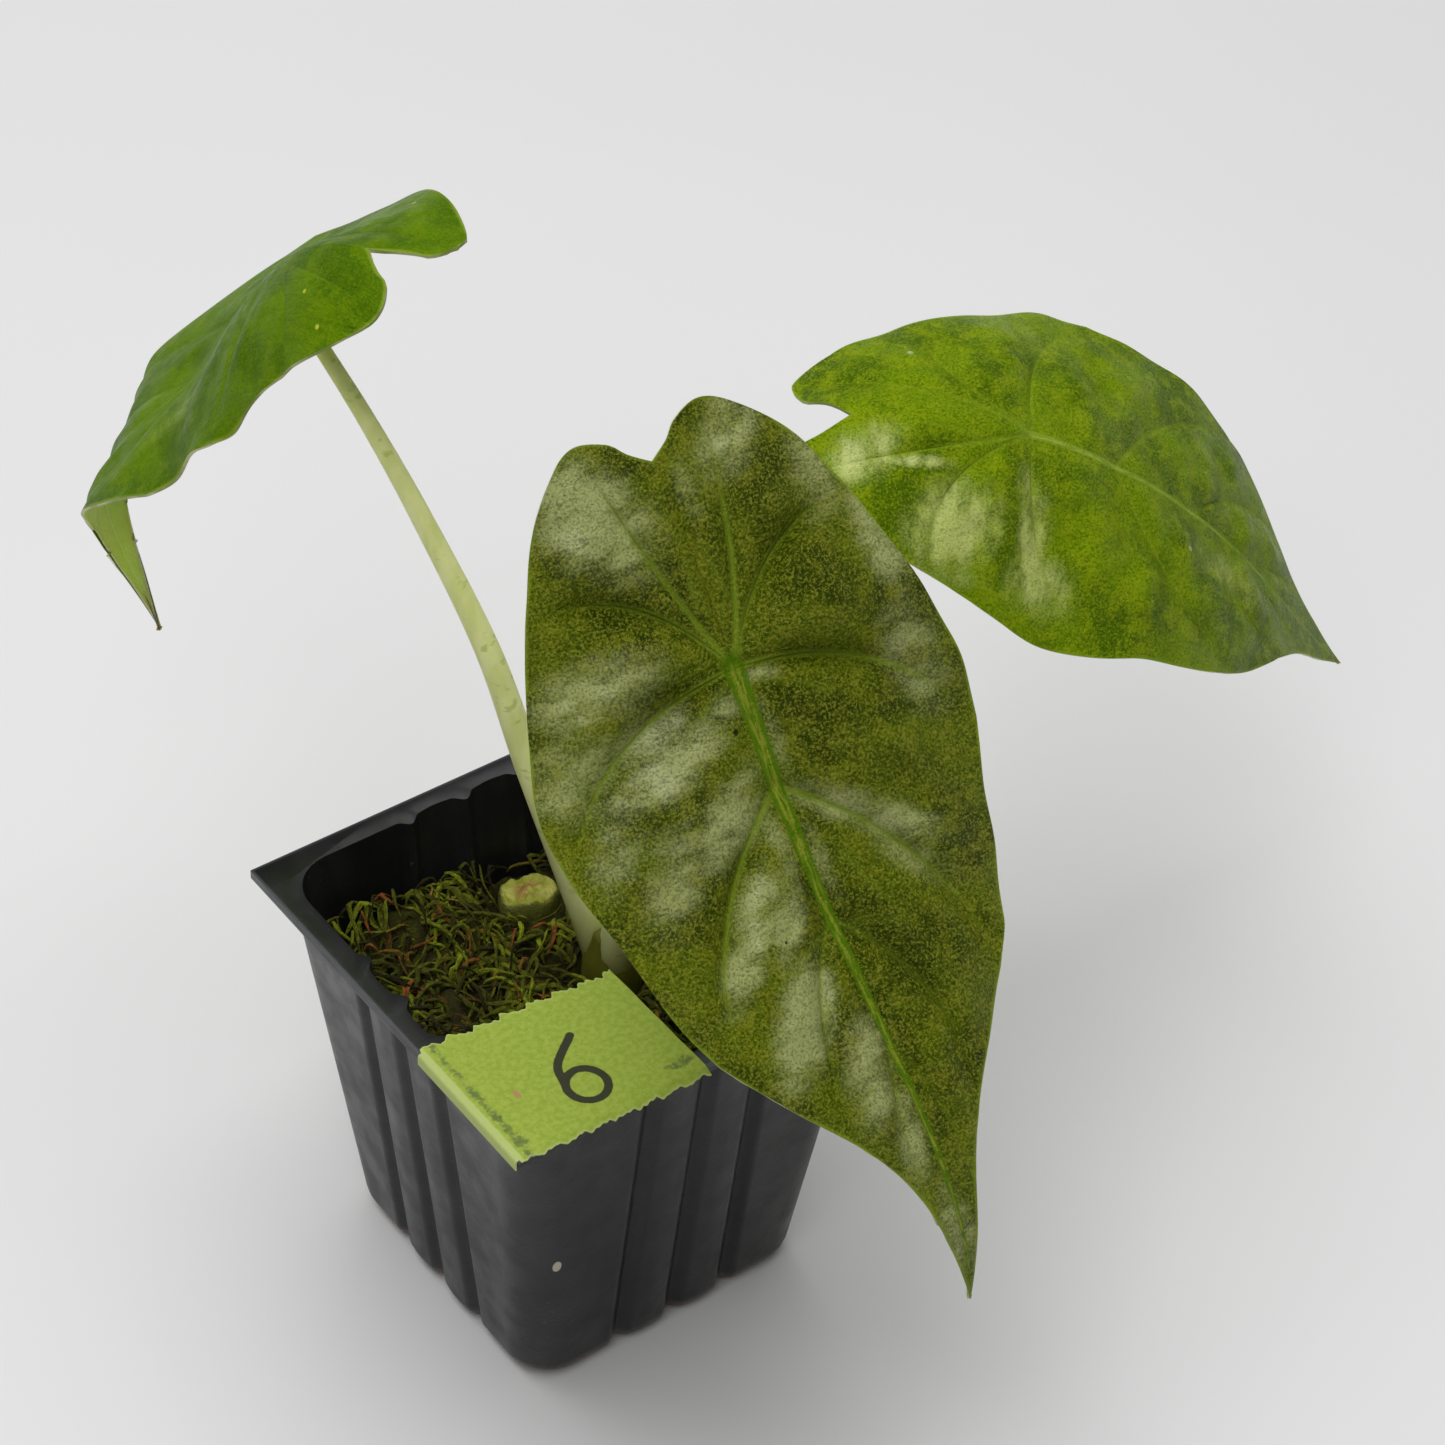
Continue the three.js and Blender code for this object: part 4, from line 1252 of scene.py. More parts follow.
@dataclass
class Leaf:
    """A shield-shaped blade on its stalk. Sizes in mm, angles in degrees at the knots above.

    `lobes`, `notch` and `point` stretch the common outline. `quilt`, `pucker`, `sunk` and `ribbed`
    are the heights of the quilting between the veins, of its unevenness, of the veins' valleys and
    of the midrib's relief.
    """

    name: str
    node: str
    hub: Triple
    length: float
    pitch: tuple[float, ...]
    yaw: tuple[float, ...]
    roll: tuple[float, ...]
    left: HalfBlade
    right: HalfBlade
    lobes: tuple[float, float]
    notch: float
    point: float
    finish: LeafFinish
    under: UndersideFinish
    edge: EdgeFinish
    quilt: float
    pucker: float
    sunk: float
    ribbed: float
    seed: float
    light_patches: tuple[PaintedLightPatch, ...]
    rib_width: float = 1.0
    thickness: float = 0.4
    rib_depth: float = 1.7
    shares: int = 40
    steps: int = 64

    def spine(self) -> tuple[Array, Array, Array, Array]:
        """Follow the midrib in space.

        Returns:
            The shares of the length, the midrib's places, and the side and face directions.
        """
        step = 0.005
        x = np.arange(-0.42, 1.0201, step)
        p = np.radians(through(PITCH_KNOTS, self.pitch, x))
        y = np.radians(through(TURN_KNOTS, self.yaw, x))
        r = np.radians(through(TURN_KNOTS, self.roll, x))[:, None]
        ahead = np.stack([np.cos(p) * np.cos(y), np.cos(p) * np.sin(y), -np.sin(p)], 1)
        face = np.stack([np.sin(p) * np.cos(y), np.sin(p) * np.sin(y), np.cos(p)], 1)
        side = np.cross(face, ahead)
        tilted_side = side * np.cos(r) + face * np.sin(r)
        tilted_face = face * np.cos(r) - side * np.sin(r)
        steps = (ahead[1:] + ahead[:-1]) / 2 * step * self.length
        place = np.concatenate([np.zeros((1, 3)), np.cumsum(steps, 0)])
        origin = np.array([np.interp(0, x, place[:, k]) for k in range(3)])
        place += np.array([self.hub[0], self.hub[1], RIM + self.hub[2]]) - origin
        return x, place, tilted_side, tilted_face

    def axes_at(self, x: Array) -> list[Array]:
        """Read the midrib's places and its side and face directions."""
        xs, *tables = self.spine()
        return [np.stack([np.interp(x, xs, table[:, k]) for k in range(3)], -1) for table in tables]

    def rib_reach(self) -> float:
        """How far the ribs stand below the face, in mm."""
        return self.rib_depth * self.length / MODEL_LENGTH

    def outline(self, sign: int, step: Array) -> tuple[Array, Array]:
        """Flat margin of one half at a step round the outline."""
        steps = np.arange(len(OUTLINE_X))
        x = through(steps, OUTLINE_X, step)
        y = np.maximum(0, through(steps, OUTLINE_Y, step))
        lobe = self.lobes[0 if sign > 0 else 1]
        reach = np.clip(-x / 0.39, 0, 1)
        slim = 1 + (self.point - 1) * np.clip((x - 0.5) / 0.25, 0, 1)
        drawn = x * (1 + (lobe - 1) * reach)
        notch = np.clip(1 - step / 1.5, 0, 1)
        return drawn * (1 - notch) + x * self.notch * notch, y * slim

    def flat(self, sign: int, line: Array, v: Array) -> tuple[Array, Array]:
        """Flat place of a point on one half.

        Args:
            sign: 1 for the left half, -1 for the right.
            line: which vein, with the share of the way to the next.
            v: share of the way from the midrib to the margin.

        Returns:
            x along the midrib and y out from it, in shares of the length.
        """
        row = np.clip(np.floor(line).astype(int), 0, LAST_VEIN - 1)
        share = (line - row)[..., None]
        mixed = VEIN_TABLE[row] * (1 - share) + VEIN_TABLE[row + 1] * share
        start, bend_x, bend_y, end = np.moveaxis(mixed, -1, 0)
        end_x, end_y = self.outline(sign, end)
        a, b, c = (1 - v) ** 2, 2 * v * (1 - v), v * v
        return a * start + b * bend_x + c * end_x, b * bend_y + c * end_y

    def at(self, sign: int, x: Array, y: Array, lift: Array) -> Array:
        """Place flat points of one half in space, raised off the face by lift mm."""
        half = self.left if sign > 0 else self.right
        fold = np.radians(through(FOLD_KNOTS, half.fold, x))
        curl = np.radians(through(FOLD_KNOTS, half.curl, x)) / 0.3
        rate = np.where(np.abs(curl) < 1e-3, 1e-3, curl)
        angle = fold + rate * y
        out = (np.sin(angle) - np.sin(fold)) / rate * self.length
        down = (np.cos(angle) - np.cos(fold)) / rate * self.length
        level = angle * np.clip(y / 0.02, 0, 1)
        place, side, face = self.axes_at(x)
        away = (sign * (out + lift * np.sin(level)))[..., None]
        rise = (down + lift * np.cos(level))[..., None]
        return place + side * away + face * rise

    def veins_of(self, sign: int, x: Array, y: Array) -> tuple[Array, Array, Array]:
        """Measure the side veins at flat places.

        Args:
            sign: 1 for the left half, -1 for the right.
            x: places along the midrib, in shares of the length.
            y: places out from it.

        Returns:
            How strongly a vein is drawn, how deep its valley is, and how far its rib stands below.
        """
        along = np.linspace(0, 1, 81)
        drawn, valley, ridge = np.zeros_like(x), np.zeros_like(x), np.zeros_like(x)
        paths = [
            (np.stack(self.flat(sign, np.full_like(along, row), along), 1), vein.strength)
            for row, vein in enumerate(VEINS) if vein.strength
        ]
        paths += [(np.array(places), 0.3) for places in MINOR_VEINS]
        for path, strength in paths:
            away, t = distance_to(np.stack([x, y], -1), path)
            away = away * self.length
            power = strength * (1 - np.clip((t - 0.5) / 0.42, 0, 1) ** 1.5)
            width = (0.5 - 0.22 * t) * self.length / MODEL_LENGTH
            drawn = np.maximum(drawn, power * np.clip(1.15 - away / width, 0, 1))
            valley = np.maximum(valley, power * np.exp(-((away / 1.2) ** 2)))
            ridge = np.maximum(ridge, power * (1 - t) * np.exp(-((away / 0.8) ** 2)))
        return drawn, valley, ridge

    def painted_light_at(self, sign: int, x: Array, y: Array) -> tuple[Array, Array]:
        """Strength of the painted silvery sheen and of the painted shade at flat places of one half."""
        sheen, shade = np.zeros_like(x), np.zeros_like(x)
        for patch in self.light_patches:
            if patch.side.value == sign:
                lean = np.clip(2.2 * patch.x + 0.1, -0.5, 0.8) * (y - patch.y)
                gap = ((x - patch.x - lean) / patch.along) ** 2 + ((y - patch.y) / patch.across) ** 2
                reach = patch.strength * np.exp(-(gap**1.3))
                sheen, shade = np.maximum(sheen, reach), np.maximum(shade, -reach)
        return sheen, shade

    def mesh_lines(self) -> tuple[Array, Array]:
        """Lay out a half's lines, each a vein with the share to the next, and the steps out."""
        gap = np.linspace(0, 1, self.shares + 1)[:-1]
        gap = gap - 0.05 * np.sin(2 * math.pi * gap)
        line = np.concatenate([row + gap for row in range(LAST_VEIN)] + [[float(LAST_VEIN)]])
        v = np.linspace(0, 1, self.steps + 1) ** 1.1
        line, v = np.meshgrid(line, v, indexing="ij")
        return line, v

    def relief(self, sign: int, line: Array, v: Array, valley: Array, near: Array) -> Array:
        """Lift of the face off its smooth course.

        Args:
            sign: 1 for the left half, -1 for the right.
            line: which vein, with the share of the way to the next.
            v: share of the way from the midrib to the margin.
            valley: how deep the veins' valleys are.
            near: 0 at the hub, where the relief ends, and 1 away from it.

        Returns:
            The lift in mm: quilting, unevenness, a wavy margin, valleys, the midrib and the hub.
        """
        row = np.clip(np.floor(line).astype(int), 0, LAST_VEIN - 1)
        x, y = self.flat(sign, line, v)
        scale = self.length / MODEL_LENGTH
        arch = np.sin(math.pi * (line - row))
        below, above = self.flat(sign, row * 1.0, v), self.flat(sign, row + 1.0, v)
        spread = np.hypot(above[0] - below[0], above[1] - below[1]) * self.length
        fade = (1 - 0.92 * np.clip((x - 0.6) / 0.2, 0, 1) ** 1.2) * np.clip(spread / 11, 0, 1)
        belly = np.sin(math.pi * np.minimum(1, v**0.8))
        lift = self.quilt * scale * arch**0.75 * belly * (1 - 0.5 * row / LAST_VEIN) * fade
        flat = np.stack([x * self.length, sign * y * self.length, np.zeros_like(x)], -1)
        uneven = swell(flat, 9.0, self.seed) + 0.25 * swell(flat, 3.2, self.seed + 1)
        calm = arch**0.6 * np.sin(math.pi * v**0.7)
        lift = lift + self.pucker * calm * fade * uneven
        wave = 0.45 * np.clip((v - 0.75) / 0.25, 0, 1) ** 2 * np.clip(arch * 2, 0, 1)
        lift = lift + wave * fade * swell(flat, 12.0, self.seed + 2)
        lift = lift - self.sunk * scale * valley * near * fade
        from_rib = self.from_midrib(x, y)
        ridged = np.where(x >= 0, 1.0, np.exp(-((x * self.length / 1.2) ** 2)))
        ridged = ridged * (1 - np.clip(x, 0, 1)) ** 0.5
        raised = 0.4 * np.exp(-((from_rib / 0.85) ** 2)) - 0.55 * np.exp(-((from_rib / 1.6) ** 2))
        lift = lift + self.ribbed * scale * ridged * raised
        return lift - 0.2 * scale * np.exp(-((np.hypot(x - 0.005, y) * self.length / 1.3) ** 2))

    def from_midrib(self, x: Array, y: Array) -> Array:
        """Distance in mm from the midrib, or from the hub behind it."""
        return np.where(x >= 0, y, np.hypot(x, y)) * self.length

    def half_table(self, sign: int) -> tuple[Array, dict[str, Array]]:
        """Work out one half of the blade.

        Args:
            sign: 1 for the left half, -1 for the right.

        Returns:
            Places and marks for the finish and the ribs, lines x steps.
        """
        line, v = self.mesh_lines()
        x, y = self.flat(sign, line, v)
        drawn, valley, ridge = self.veins_of(sign, x, y)
        near = 1 - np.exp(-((np.hypot(x, y) * self.length / 2.6) ** 2))
        lift = self.relief(sign, line, v, valley, near)
        sheen, shade = self.painted_light_at(sign, x, y)
        # Painted shade along the veins' valleys, less where a painted sheen lies.
        valley_shade = np.clip(1.3 * self.sunk * valley * near, 0, 1) * np.clip(1 - sheen, 0, 1)
        places = self.at(sign, x, y, lift + self.thickness / 2)
        rim_x, rim_y = self.flat(sign, line, np.ones_like(v))
        rim = self.at(sign, rim_x, rim_y, np.zeros_like(rim_x))
        along = np.gradient(rim, axis=0)
        along = along / (np.linalg.norm(along, axis=-1, keepdims=True) + 1e-9)
        gap = places - rim
        taper = np.interp(x, [0, 0.1, 0.6, 1], [1.1, 0.9, 0.42, 0.12])
        half_width = self.rib_width * (self.length / MODEL_LENGTH) * taper
        from_rib = self.from_midrib(x, y) / half_width
        main_rib = np.exp(-((from_rib / 1.1) ** 2)) * (1 - np.clip(x, 0, 1)) ** 1.5
        marks = {
            "vein": drawn,
            "midrib": np.minimum(from_rib, 4),
            "hub": np.exp(-((np.hypot(x + 0.012, y * 0.8) * self.length) ** 2)),
            "along": x,
            "flat_x": x * self.length * MM,
            "flat_y": sign * y * self.length * MM,
            "margin": np.linalg.norm(gap - (gap * along).sum(-1, keepdims=True) * along, axis=-1),
            # Painted sheen, and painted shade from the dark patches and the vein valleys.
            "sheen": sheen,
            "shade": np.maximum(shade, valley_shade),
            "rib": np.clip(main_rib + 0.4 * ridge, 0, 1),
        }
        return places, marks

    def build(self) -> bpy.types.Object:
        """Model the blade, with its ribs raised below."""
        left, left_marks = self.half_table(1)
        right, right_marks = self.half_table(-1)
        sew = lambda a, b: np.concatenate([b[:, :0:-1], a], 1)
        marks = {key: sew(left_marks[key], right_marks[key]) for key in left_marks}
        blade = lattice(self.name, sew(left, right), marks, closed=False)
        group = blade.vertex_groups.new(name="rib")
        for index, weight in enumerate(read_mark(blade.data, "rib")):
            group.add([index], float(weight), "REPLACE")
        # Solidify can only give its faces slots that the mesh has already.
        for finish in (replace(self.finish, length=self.length), self.under, self.edge):
            blade.data.materials.append(finish.build())
        apply_modifier(
            blade, "SOLIDIFY", thickness=self.rib_reach() * MM, offset=-1.0, vertex_group="rib",
            thickness_vertex_group=self.thickness / self.rib_reach(), material_offset=1,
            material_offset_rim=2, use_rim=True,
        )
        return blade

    def dress(self, blade: bpy.types.Object) -> None:
        """Hand over the blade; its faces took their finishes when it was given its thickness."""
        hand_over(blade, self.node, 70)


# The stalks


@dataclass
class Stalk:
    """One leaf stalk: a path above the crown, with radii along it. Sizes in mm."""

    leaf: Leaf
    path: Sequence[Triple]
    radii: Sequence[float]
    sides: int = 28
    steps: int = 90

    def centreline(self) -> Array:
        """Smooth path from the crown to the underside of the leaf's hub."""
        hub, _, away = self.leaf.axes_at(0.0)
        depth = self.leaf.rib_reach() - 0.1
        points = [np.array(p, float) for p in self.path]
        points += [hub - away * (depth + 4.5), hub - away * depth]
        points = np.array(points)
        knots = np.concatenate([[0], np.cumsum(np.linalg.norm(np.diff(points, axis=0), axis=1))])
        s = np.linspace(0, knots[-1], self.steps + 1)
        return np.stack([through(knots, points[:, k], s) for k in range(3)], 1)

    def build(self, name: str) -> bpy.types.Object:
        """Sweep the stalk and return it."""
        line = self.centreline()
        t = np.linspace(0, 1, self.steps + 1)
        radius = through(np.linspace(0, 1, len(self.radii)), self.radii, t)
        radius = radius * (1 + 0.25 * np.clip((t - 0.965) / 0.035, 0, 1) ** 2)
        ahead = np.gradient(line, axis=0)
        ahead /= np.linalg.norm(ahead, axis=1, keepdims=True)
        across = np.cross([0.3, -1.0, 0.0], ahead)
        across /= np.linalg.norm(across, axis=1, keepdims=True)
        other = np.cross(ahead, across)
        angle = np.linspace(0, 2 * math.pi, self.sides + 1)
        reach = radius[None, :] * (1 - 0.07 * np.exp(-(((angle[:, None] - 1.6) / 0.5) ** 2)))
        reach[:, [0, -1]] = 0
        points = (
            line[None]
            + across[None] * (np.cos(angle)[:, None] * reach)[..., None]
            + other[None] * (np.sin(angle)[:, None] * reach)[..., None]
        )
        foot = np.clip((RIM - 1 - points[..., 2]) / 12, 0, 1)
        return lattice(name, points, {"foot": foot})


@dataclass
class Crown:
    """The foot of the plant, where the stalks sheathe each other. Sizes in mm."""

    stalks: Sequence[Stalk]
    centre: tuple[float, float] = CROWN_PLACE
    radius: float = 3.7
    base: float = ROOTS
    top: float = RIM - 5.0

    def build_foot(self) -> bpy.types.Object:
        """Model the wrapped foot as a tapering, slightly ridged body."""
        angle = np.linspace(0, 2 * math.pi, 49)
        levels = np.linspace(0, 1, 26)
        height = self.base + (self.top - self.base) * levels
        radius = self.radius * np.interp(levels, [0, 0.55, 0.75, 1], [0.95, 0.97, 0.93, 0.55])
        ridge = 1 + 0.05 * np.cos(3 * angle)[:, None] + 0.02 * np.cos(11 * angle + 1)[:, None]
        reach = radius[None] * ridge
        reach[:, [0, -1]] = 0
        points = upright(self.centre, height, angle, reach)
        return lattice("stalk_foot", points, {"foot": np.clip((RIM + 4 - points[..., 2]) / 9, 0, 1)})

    def build(self) -> bpy.types.Object:
        """Model the foot and its stalks as one piece."""
        parts = [stalk.build(f"stalk_{index}") for index, stalk in enumerate(self.stalks)]
        return join([*parts, self.build_foot()], "stalks")

    def dress(self, stalks: bpy.types.Object) -> None:
        """Give the stalks their skin and hand them over."""
        finish = StalkFinish(
            "stalk_skin", pale=(0.8, 0.82, 0.38), green=(0.7, 0.74, 0.28), dash=(0.4, 0.5, 0.1),
            foot=(0.13, 0.13, 0.012),
        )
        hand_over(stalks, "stems", 60, finish)


@dataclass
class CutStub:
    """The stub of a cut stalk, standing in the moss. Sizes in mm."""

    centre: tuple[float, float] = STUB_PLACE
    radius: float = 3.6
    base: float = ROOTS
    top: float = RIM - 11.8

    def build(self) -> bpy.types.Object:
        """Model the stub with its rough cut face."""
        angle = np.linspace(0, 2 * math.pi, 49)
        heights = [self.base, self.base, self.top - 3, self.top - 1.1, self.top - 0.35, self.top]
        spans = np.array([0.0, 0.9, 1.0, 0.98, 0.92, 0.82, *np.linspace(0.7, 0, 9)])
        heights += [self.top] * (len(spans) - len(heights))
        uneven = 1 + 0.1 * np.cos(2 * angle + 0.6) + 0.06 * np.cos(5 * angle + 2)
        points = upright(self.centre, heights, angle, self.radius * spans * uneven[:, None], 0.92)
        rough = points[:, 4:]
        level = rough * [1, 1, 0]
        rough[..., 2] += 0.4 * swell(level, 3.0, 5.5) + 0.2 * swell(level, 1.2, 6.5)
        points[:, 0] = points[:, 0].mean(0)
        points[:, -1] = points[:-1, -1].mean(0)
        all_round = np.ones((len(angle), 1))
        on_face = (np.arange(len(spans)) >= 5) * all_round
        heart = np.clip((0.62 - spans * all_round) / 0.3, 0, 1) * on_face
        marks = {"heart": heart, "rind": (1 - on_face) * 0.85}
        return lattice("cut_stub_rough", points, marks)

    def dress(self, stub: bpy.types.Object) -> None:
        """Give the stub its flesh and hand it over."""
        finish = CutFinish(
            "cut_flesh", flesh=(0.27, 0.29, 0.02), bright=(0.42, 0.42, 0.07), heart=(0.3, 0.17, 0.03),
            rind=(0.1, 0.11, 0.015),
        )
        hand_over(stub, "cut_stub", 50, finish)


# The tape


@dataclass
class TapeLabel:
    """A strip of tape over one corner of the rim, folded down at its left edge. Sizes in mm.

    The straight edges lie at -edge, where the flap hangs, and at far; the cut ends at inner and
    outer. It clings to the rim at rim_edge, and one dry seed lies on it.
    """

    edge: float = 27.8
    far: float = -2.5
    inner: float = -8.4
    inner_lean: float = 1.7
    outer: float = -27.5
    outer_lean: float = 0.7
    rim_edge: tuple[float, float] = (-25.9, -25.6)
    seed_place: tuple[float, float] = (-22.0, -19.2)
    level: float = RIM + 0.25
    flap: float = 1.5
    tooth: float = 3.4
    tooth_height: float = 1.0
    thickness: float = 0.16
    cell: float = 0.22
    seed: int = 5

    def teeth(self, x: Array, rng: np.random.Generator) -> Array:
        """Depth of the torn teeth along the strip's width."""
        phase = (x / self.tooth) % 1
        saw = np.where(phase < 0.18, phase / 0.18, (1 - phase) / 0.82)
        fine = (x / (self.tooth / 3.1) + 0.2) % 1
        small = np.where(fine < 0.3, fine / 0.3, (1 - fine) / 0.7)
        rough = np.interp(x, np.linspace(-30, 0, 60), rng.uniform(0, 0.35, 60))
        return self.tooth_height * (0.75 * saw + 0.3 * small) + rough

    @staticmethod
    def digit() -> Array:
        """Path of a hand-drawn six, in mm on the rim plane."""
        t = np.linspace(0, 1, 60)
        centre, size = np.array([-14.9, -22.4]), np.array([2.3, 2.5])
        loop = np.radians(150 + 360 * t)
        ring = centre + size * np.stack([np.cos(loop), np.sin(loop)], 1)
        start, end = np.array([-12.2, -15.2]), ring[0]
        bend = (-15.9, -18.2)
        stem = np.stack([through([0, 0.5, 1], [start[k], bend[k], end[k]], t) for k in range(2)], 1)
        return np.concatenate([stem, ring])

    def build(self) -> bpy.types.Object:
        """Model the strip, with the ink's distance kept on its points."""
        flap = np.linspace(-self.flap, 0, 7)[:-1]
        flat = np.arange(0, self.edge + self.far + 1e-6, self.cell)
        run = np.concatenate([flap, flat])
        x = -self.edge + np.maximum(run, 0)
        z = self.level + np.minimum(run, 0)
        rounded = 0.1 * np.clip(1 - np.abs(run) / 0.35, 0, 1)
        x = x + rounded
        z = z - rounded
        rng = np.random.default_rng(self.seed)
        share = np.clip((x + self.edge) / (self.edge + self.far), 0, 1)
        flat_part = run > 0.5
        inner = self.inner - self.inner_lean * share
        inner = inner + np.where(flat_part, self.teeth(x + 0.4, rng), 0.1)
        outer = self.outer - self.outer_lean * share
        outer = outer - np.where(flat_part, self.teeth(x * 1.07, rng) * 0.5, 0)
        w = np.linspace(0, 1, 90)
        y = inner[:, None] + (outer - inner)[:, None] * w[None]
        xx = np.broadcast_to(x[:, None], y.shape)
        points = np.stack([xx, y, np.broadcast_to(z[:, None], y.shape)], 2)
        over_moss = np.clip((xx + 25) / 3, 0, 1) * np.clip((y + 25) / 3, 0, 1)
        sag = over_moss * (0.12 * swell(points, 9.0, 2.2) - 0.15)
        droop = np.clip((-27.3 - y) / 1.2, 0, 1) ** 1.5 * 0.5
        points[..., 2] += sag - droop * flat_part[:, None]
        gaps = np.full(y.shape, 1e3)
        for a in self.digit():
            gaps = np.minimum(gaps, np.hypot(xx - a[0], y - a[1]))
        from_side, from_front = xx - self.rim_edge[0], y - self.rim_edge[1]
        rim_side = np.exp(-(from_side**2)) * (run > 1.1)[:, None]
        rim_front = 0.75 * np.exp(-((from_front / 0.8) ** 2)) * np.clip((xx + 27) / 2, 0, 1)
        far_corner = 0.9 * np.exp(-(((xx + 4.6) / 2.2) ** 2)) * np.exp(-((from_front / 1.2) ** 2))
        cut = np.minimum(np.abs(y - inner[:, None]), np.abs(y - outer[:, None]))
        marks = {
            "ink": gaps - 0.5,
            "cling": np.clip(rim_side + 0.55 * rim_front + far_corner, 0, 1) * 0.62,
            "fold": np.broadcast_to(((run < 1.0) * 1.0)[:, None], y.shape),
            "edge": cut,
            "seed": np.hypot(xx - self.seed_place[0], (y - self.seed_place[1]) * 0.5),
        }
        tape = lattice("tape_strip", points, marks, closed=False)
        apply_modifier(tape, "SOLIDIFY", thickness=self.thickness * MM, offset=1.0, use_rim=True)
        return tape

    def dress(self, tape: bpy.types.Object) -> None:
        """Give the tape its paper and hand it over."""
        finish = TapeFinish(
            "tape_paper", lime=(0.28, 0.38, 0.03), light=(0.36, 0.46, 0.06), fold=(0.48, 0.56, 0.19),
            shade=(0.05, 0.085, 0.03), ink=(0.012, 0.008, 0.006), seed=(0.42, 0.27, 0.09),
        )
        hand_over(tape, "tape_label", 50, finish)


# The studio


@dataclass
class Studio:
    """Plain floor, soft light and the photograph's viewpoint. Places in metres."""

    eye: Triple = (-0.19007, -0.26555, 0.31643 + RIM * MM)
    azimuth: float = -38.235
    elevation: float = 41.258
    tilt: float = 2.799
    lens: float = 98.6
    sensor: float = 36
    floor_size: float = 6
    aim: Triple = (0.02, 0.0, 0.08)
    sky: float = 0.14

    def build_floor(self) -> None:
        """Lay the floor."""
        clear_selection()
        bpy.ops.mesh.primitive_plane_add(size=self.floor_size, location=(0, 0, 0))
        floor = bpy.context.object
        floor.name = "studio_floor"
        floor.data.materials.append(FloorFinish("studio_white", pale=(0.78, 0.78, 0.78)).build())

    def add_light(self, name: str, place: Sequence[float], size: float, power: float) -> None:
        """Hang one soft light that faces the plant.

        Args:
            name: the light's name.
            place: where it hangs, in metres.
            size: its side in metres.
            power: its power in watts.
        """
        clear_selection()
        bpy.ops.object.light_add(type="AREA", location=place)
        light = bpy.context.object
        light.name = name
        light.data.shape = "SQUARE"
        light.data.size = size
        light.data.energy = power
        aim = Vector(self.aim) - Vector(place)
        light.rotation_mode = "QUATERNION"
        light.rotation_quaternion = aim.to_track_quat("-Z", "Y")

    def build_light(self) -> None:
        """Set the sky and the lights."""
        world = bpy.data.worlds.new("studio_sky")
        world.use_nodes = True
        sky = world.node_tree.nodes["Background"].inputs
        sky["Color"].default_value = (0.98, 0.99, 1.0, 1.0)
        sky["Strength"].default_value = self.sky
        bpy.context.scene.world = world
        bpy.context.scene.view_settings.view_transform = "Standard"
        self.add_light("softbox", (0.02, 0.26, 1.1), 1.2, 12.4)
        self.add_light("front_fill", (-0.45, -0.38, 0.93), 0.5, 2.6)

    def build_camera(self) -> None:
        """Set the camera where the photograph was taken."""
        a, e, r = (math.radians(value) for value in (self.azimuth, self.elevation, self.tilt))
        back = Vector((math.sin(a) * math.cos(e), -math.cos(a) * math.cos(e), math.sin(e)))
        right = (-back).cross(Vector((0, 0, 1))).normalized()
        up = right.cross(-back)
        right, up = right * math.cos(r) + up * math.sin(r), up * math.cos(r) - right * math.sin(r)
        data = bpy.data.cameras.new("photo_camera")
        data.lens = self.lens
        data.sensor_width = self.sensor
        data.sensor_fit = "HORIZONTAL"
        data.clip_start = 0.01
        data.clip_end = 20
        camera = bpy.data.objects.new("photo_camera", data)
        camera.matrix_world = Matrix.Translation(self.eye) @ Matrix(
            ((right.x, up.x, back.x), (right.y, up.y, back.y), (right.z, up.z, back.z))
        ).to_4x4()
        bpy.context.collection.objects.link(camera)
        bpy.context.scene.camera = camera

    def build(self) -> None:
        """Build the whole studio."""
        self.build_floor()
        self.build_light()
        self.build_camera()


# The plant's own sizes


def patches(near: Sequence[tuple], far: Sequence[tuple]) -> tuple[PaintedLightPatch, ...]:
    """Make a blade's patches of painted sheen, and below 0 of painted shade, from rows of x, y, reach along and
    across, and strength.

    Args:
        near: rows of the half towards the viewer, the right one.
        far: rows of the other half.

    Returns:
        The patches of both halves.
    """
    right = [PaintedLightPatch(Side.RIGHT, *row) for row in near]
    return (*right, *(PaintedLightPatch(Side.LEFT, *row) for row in far))


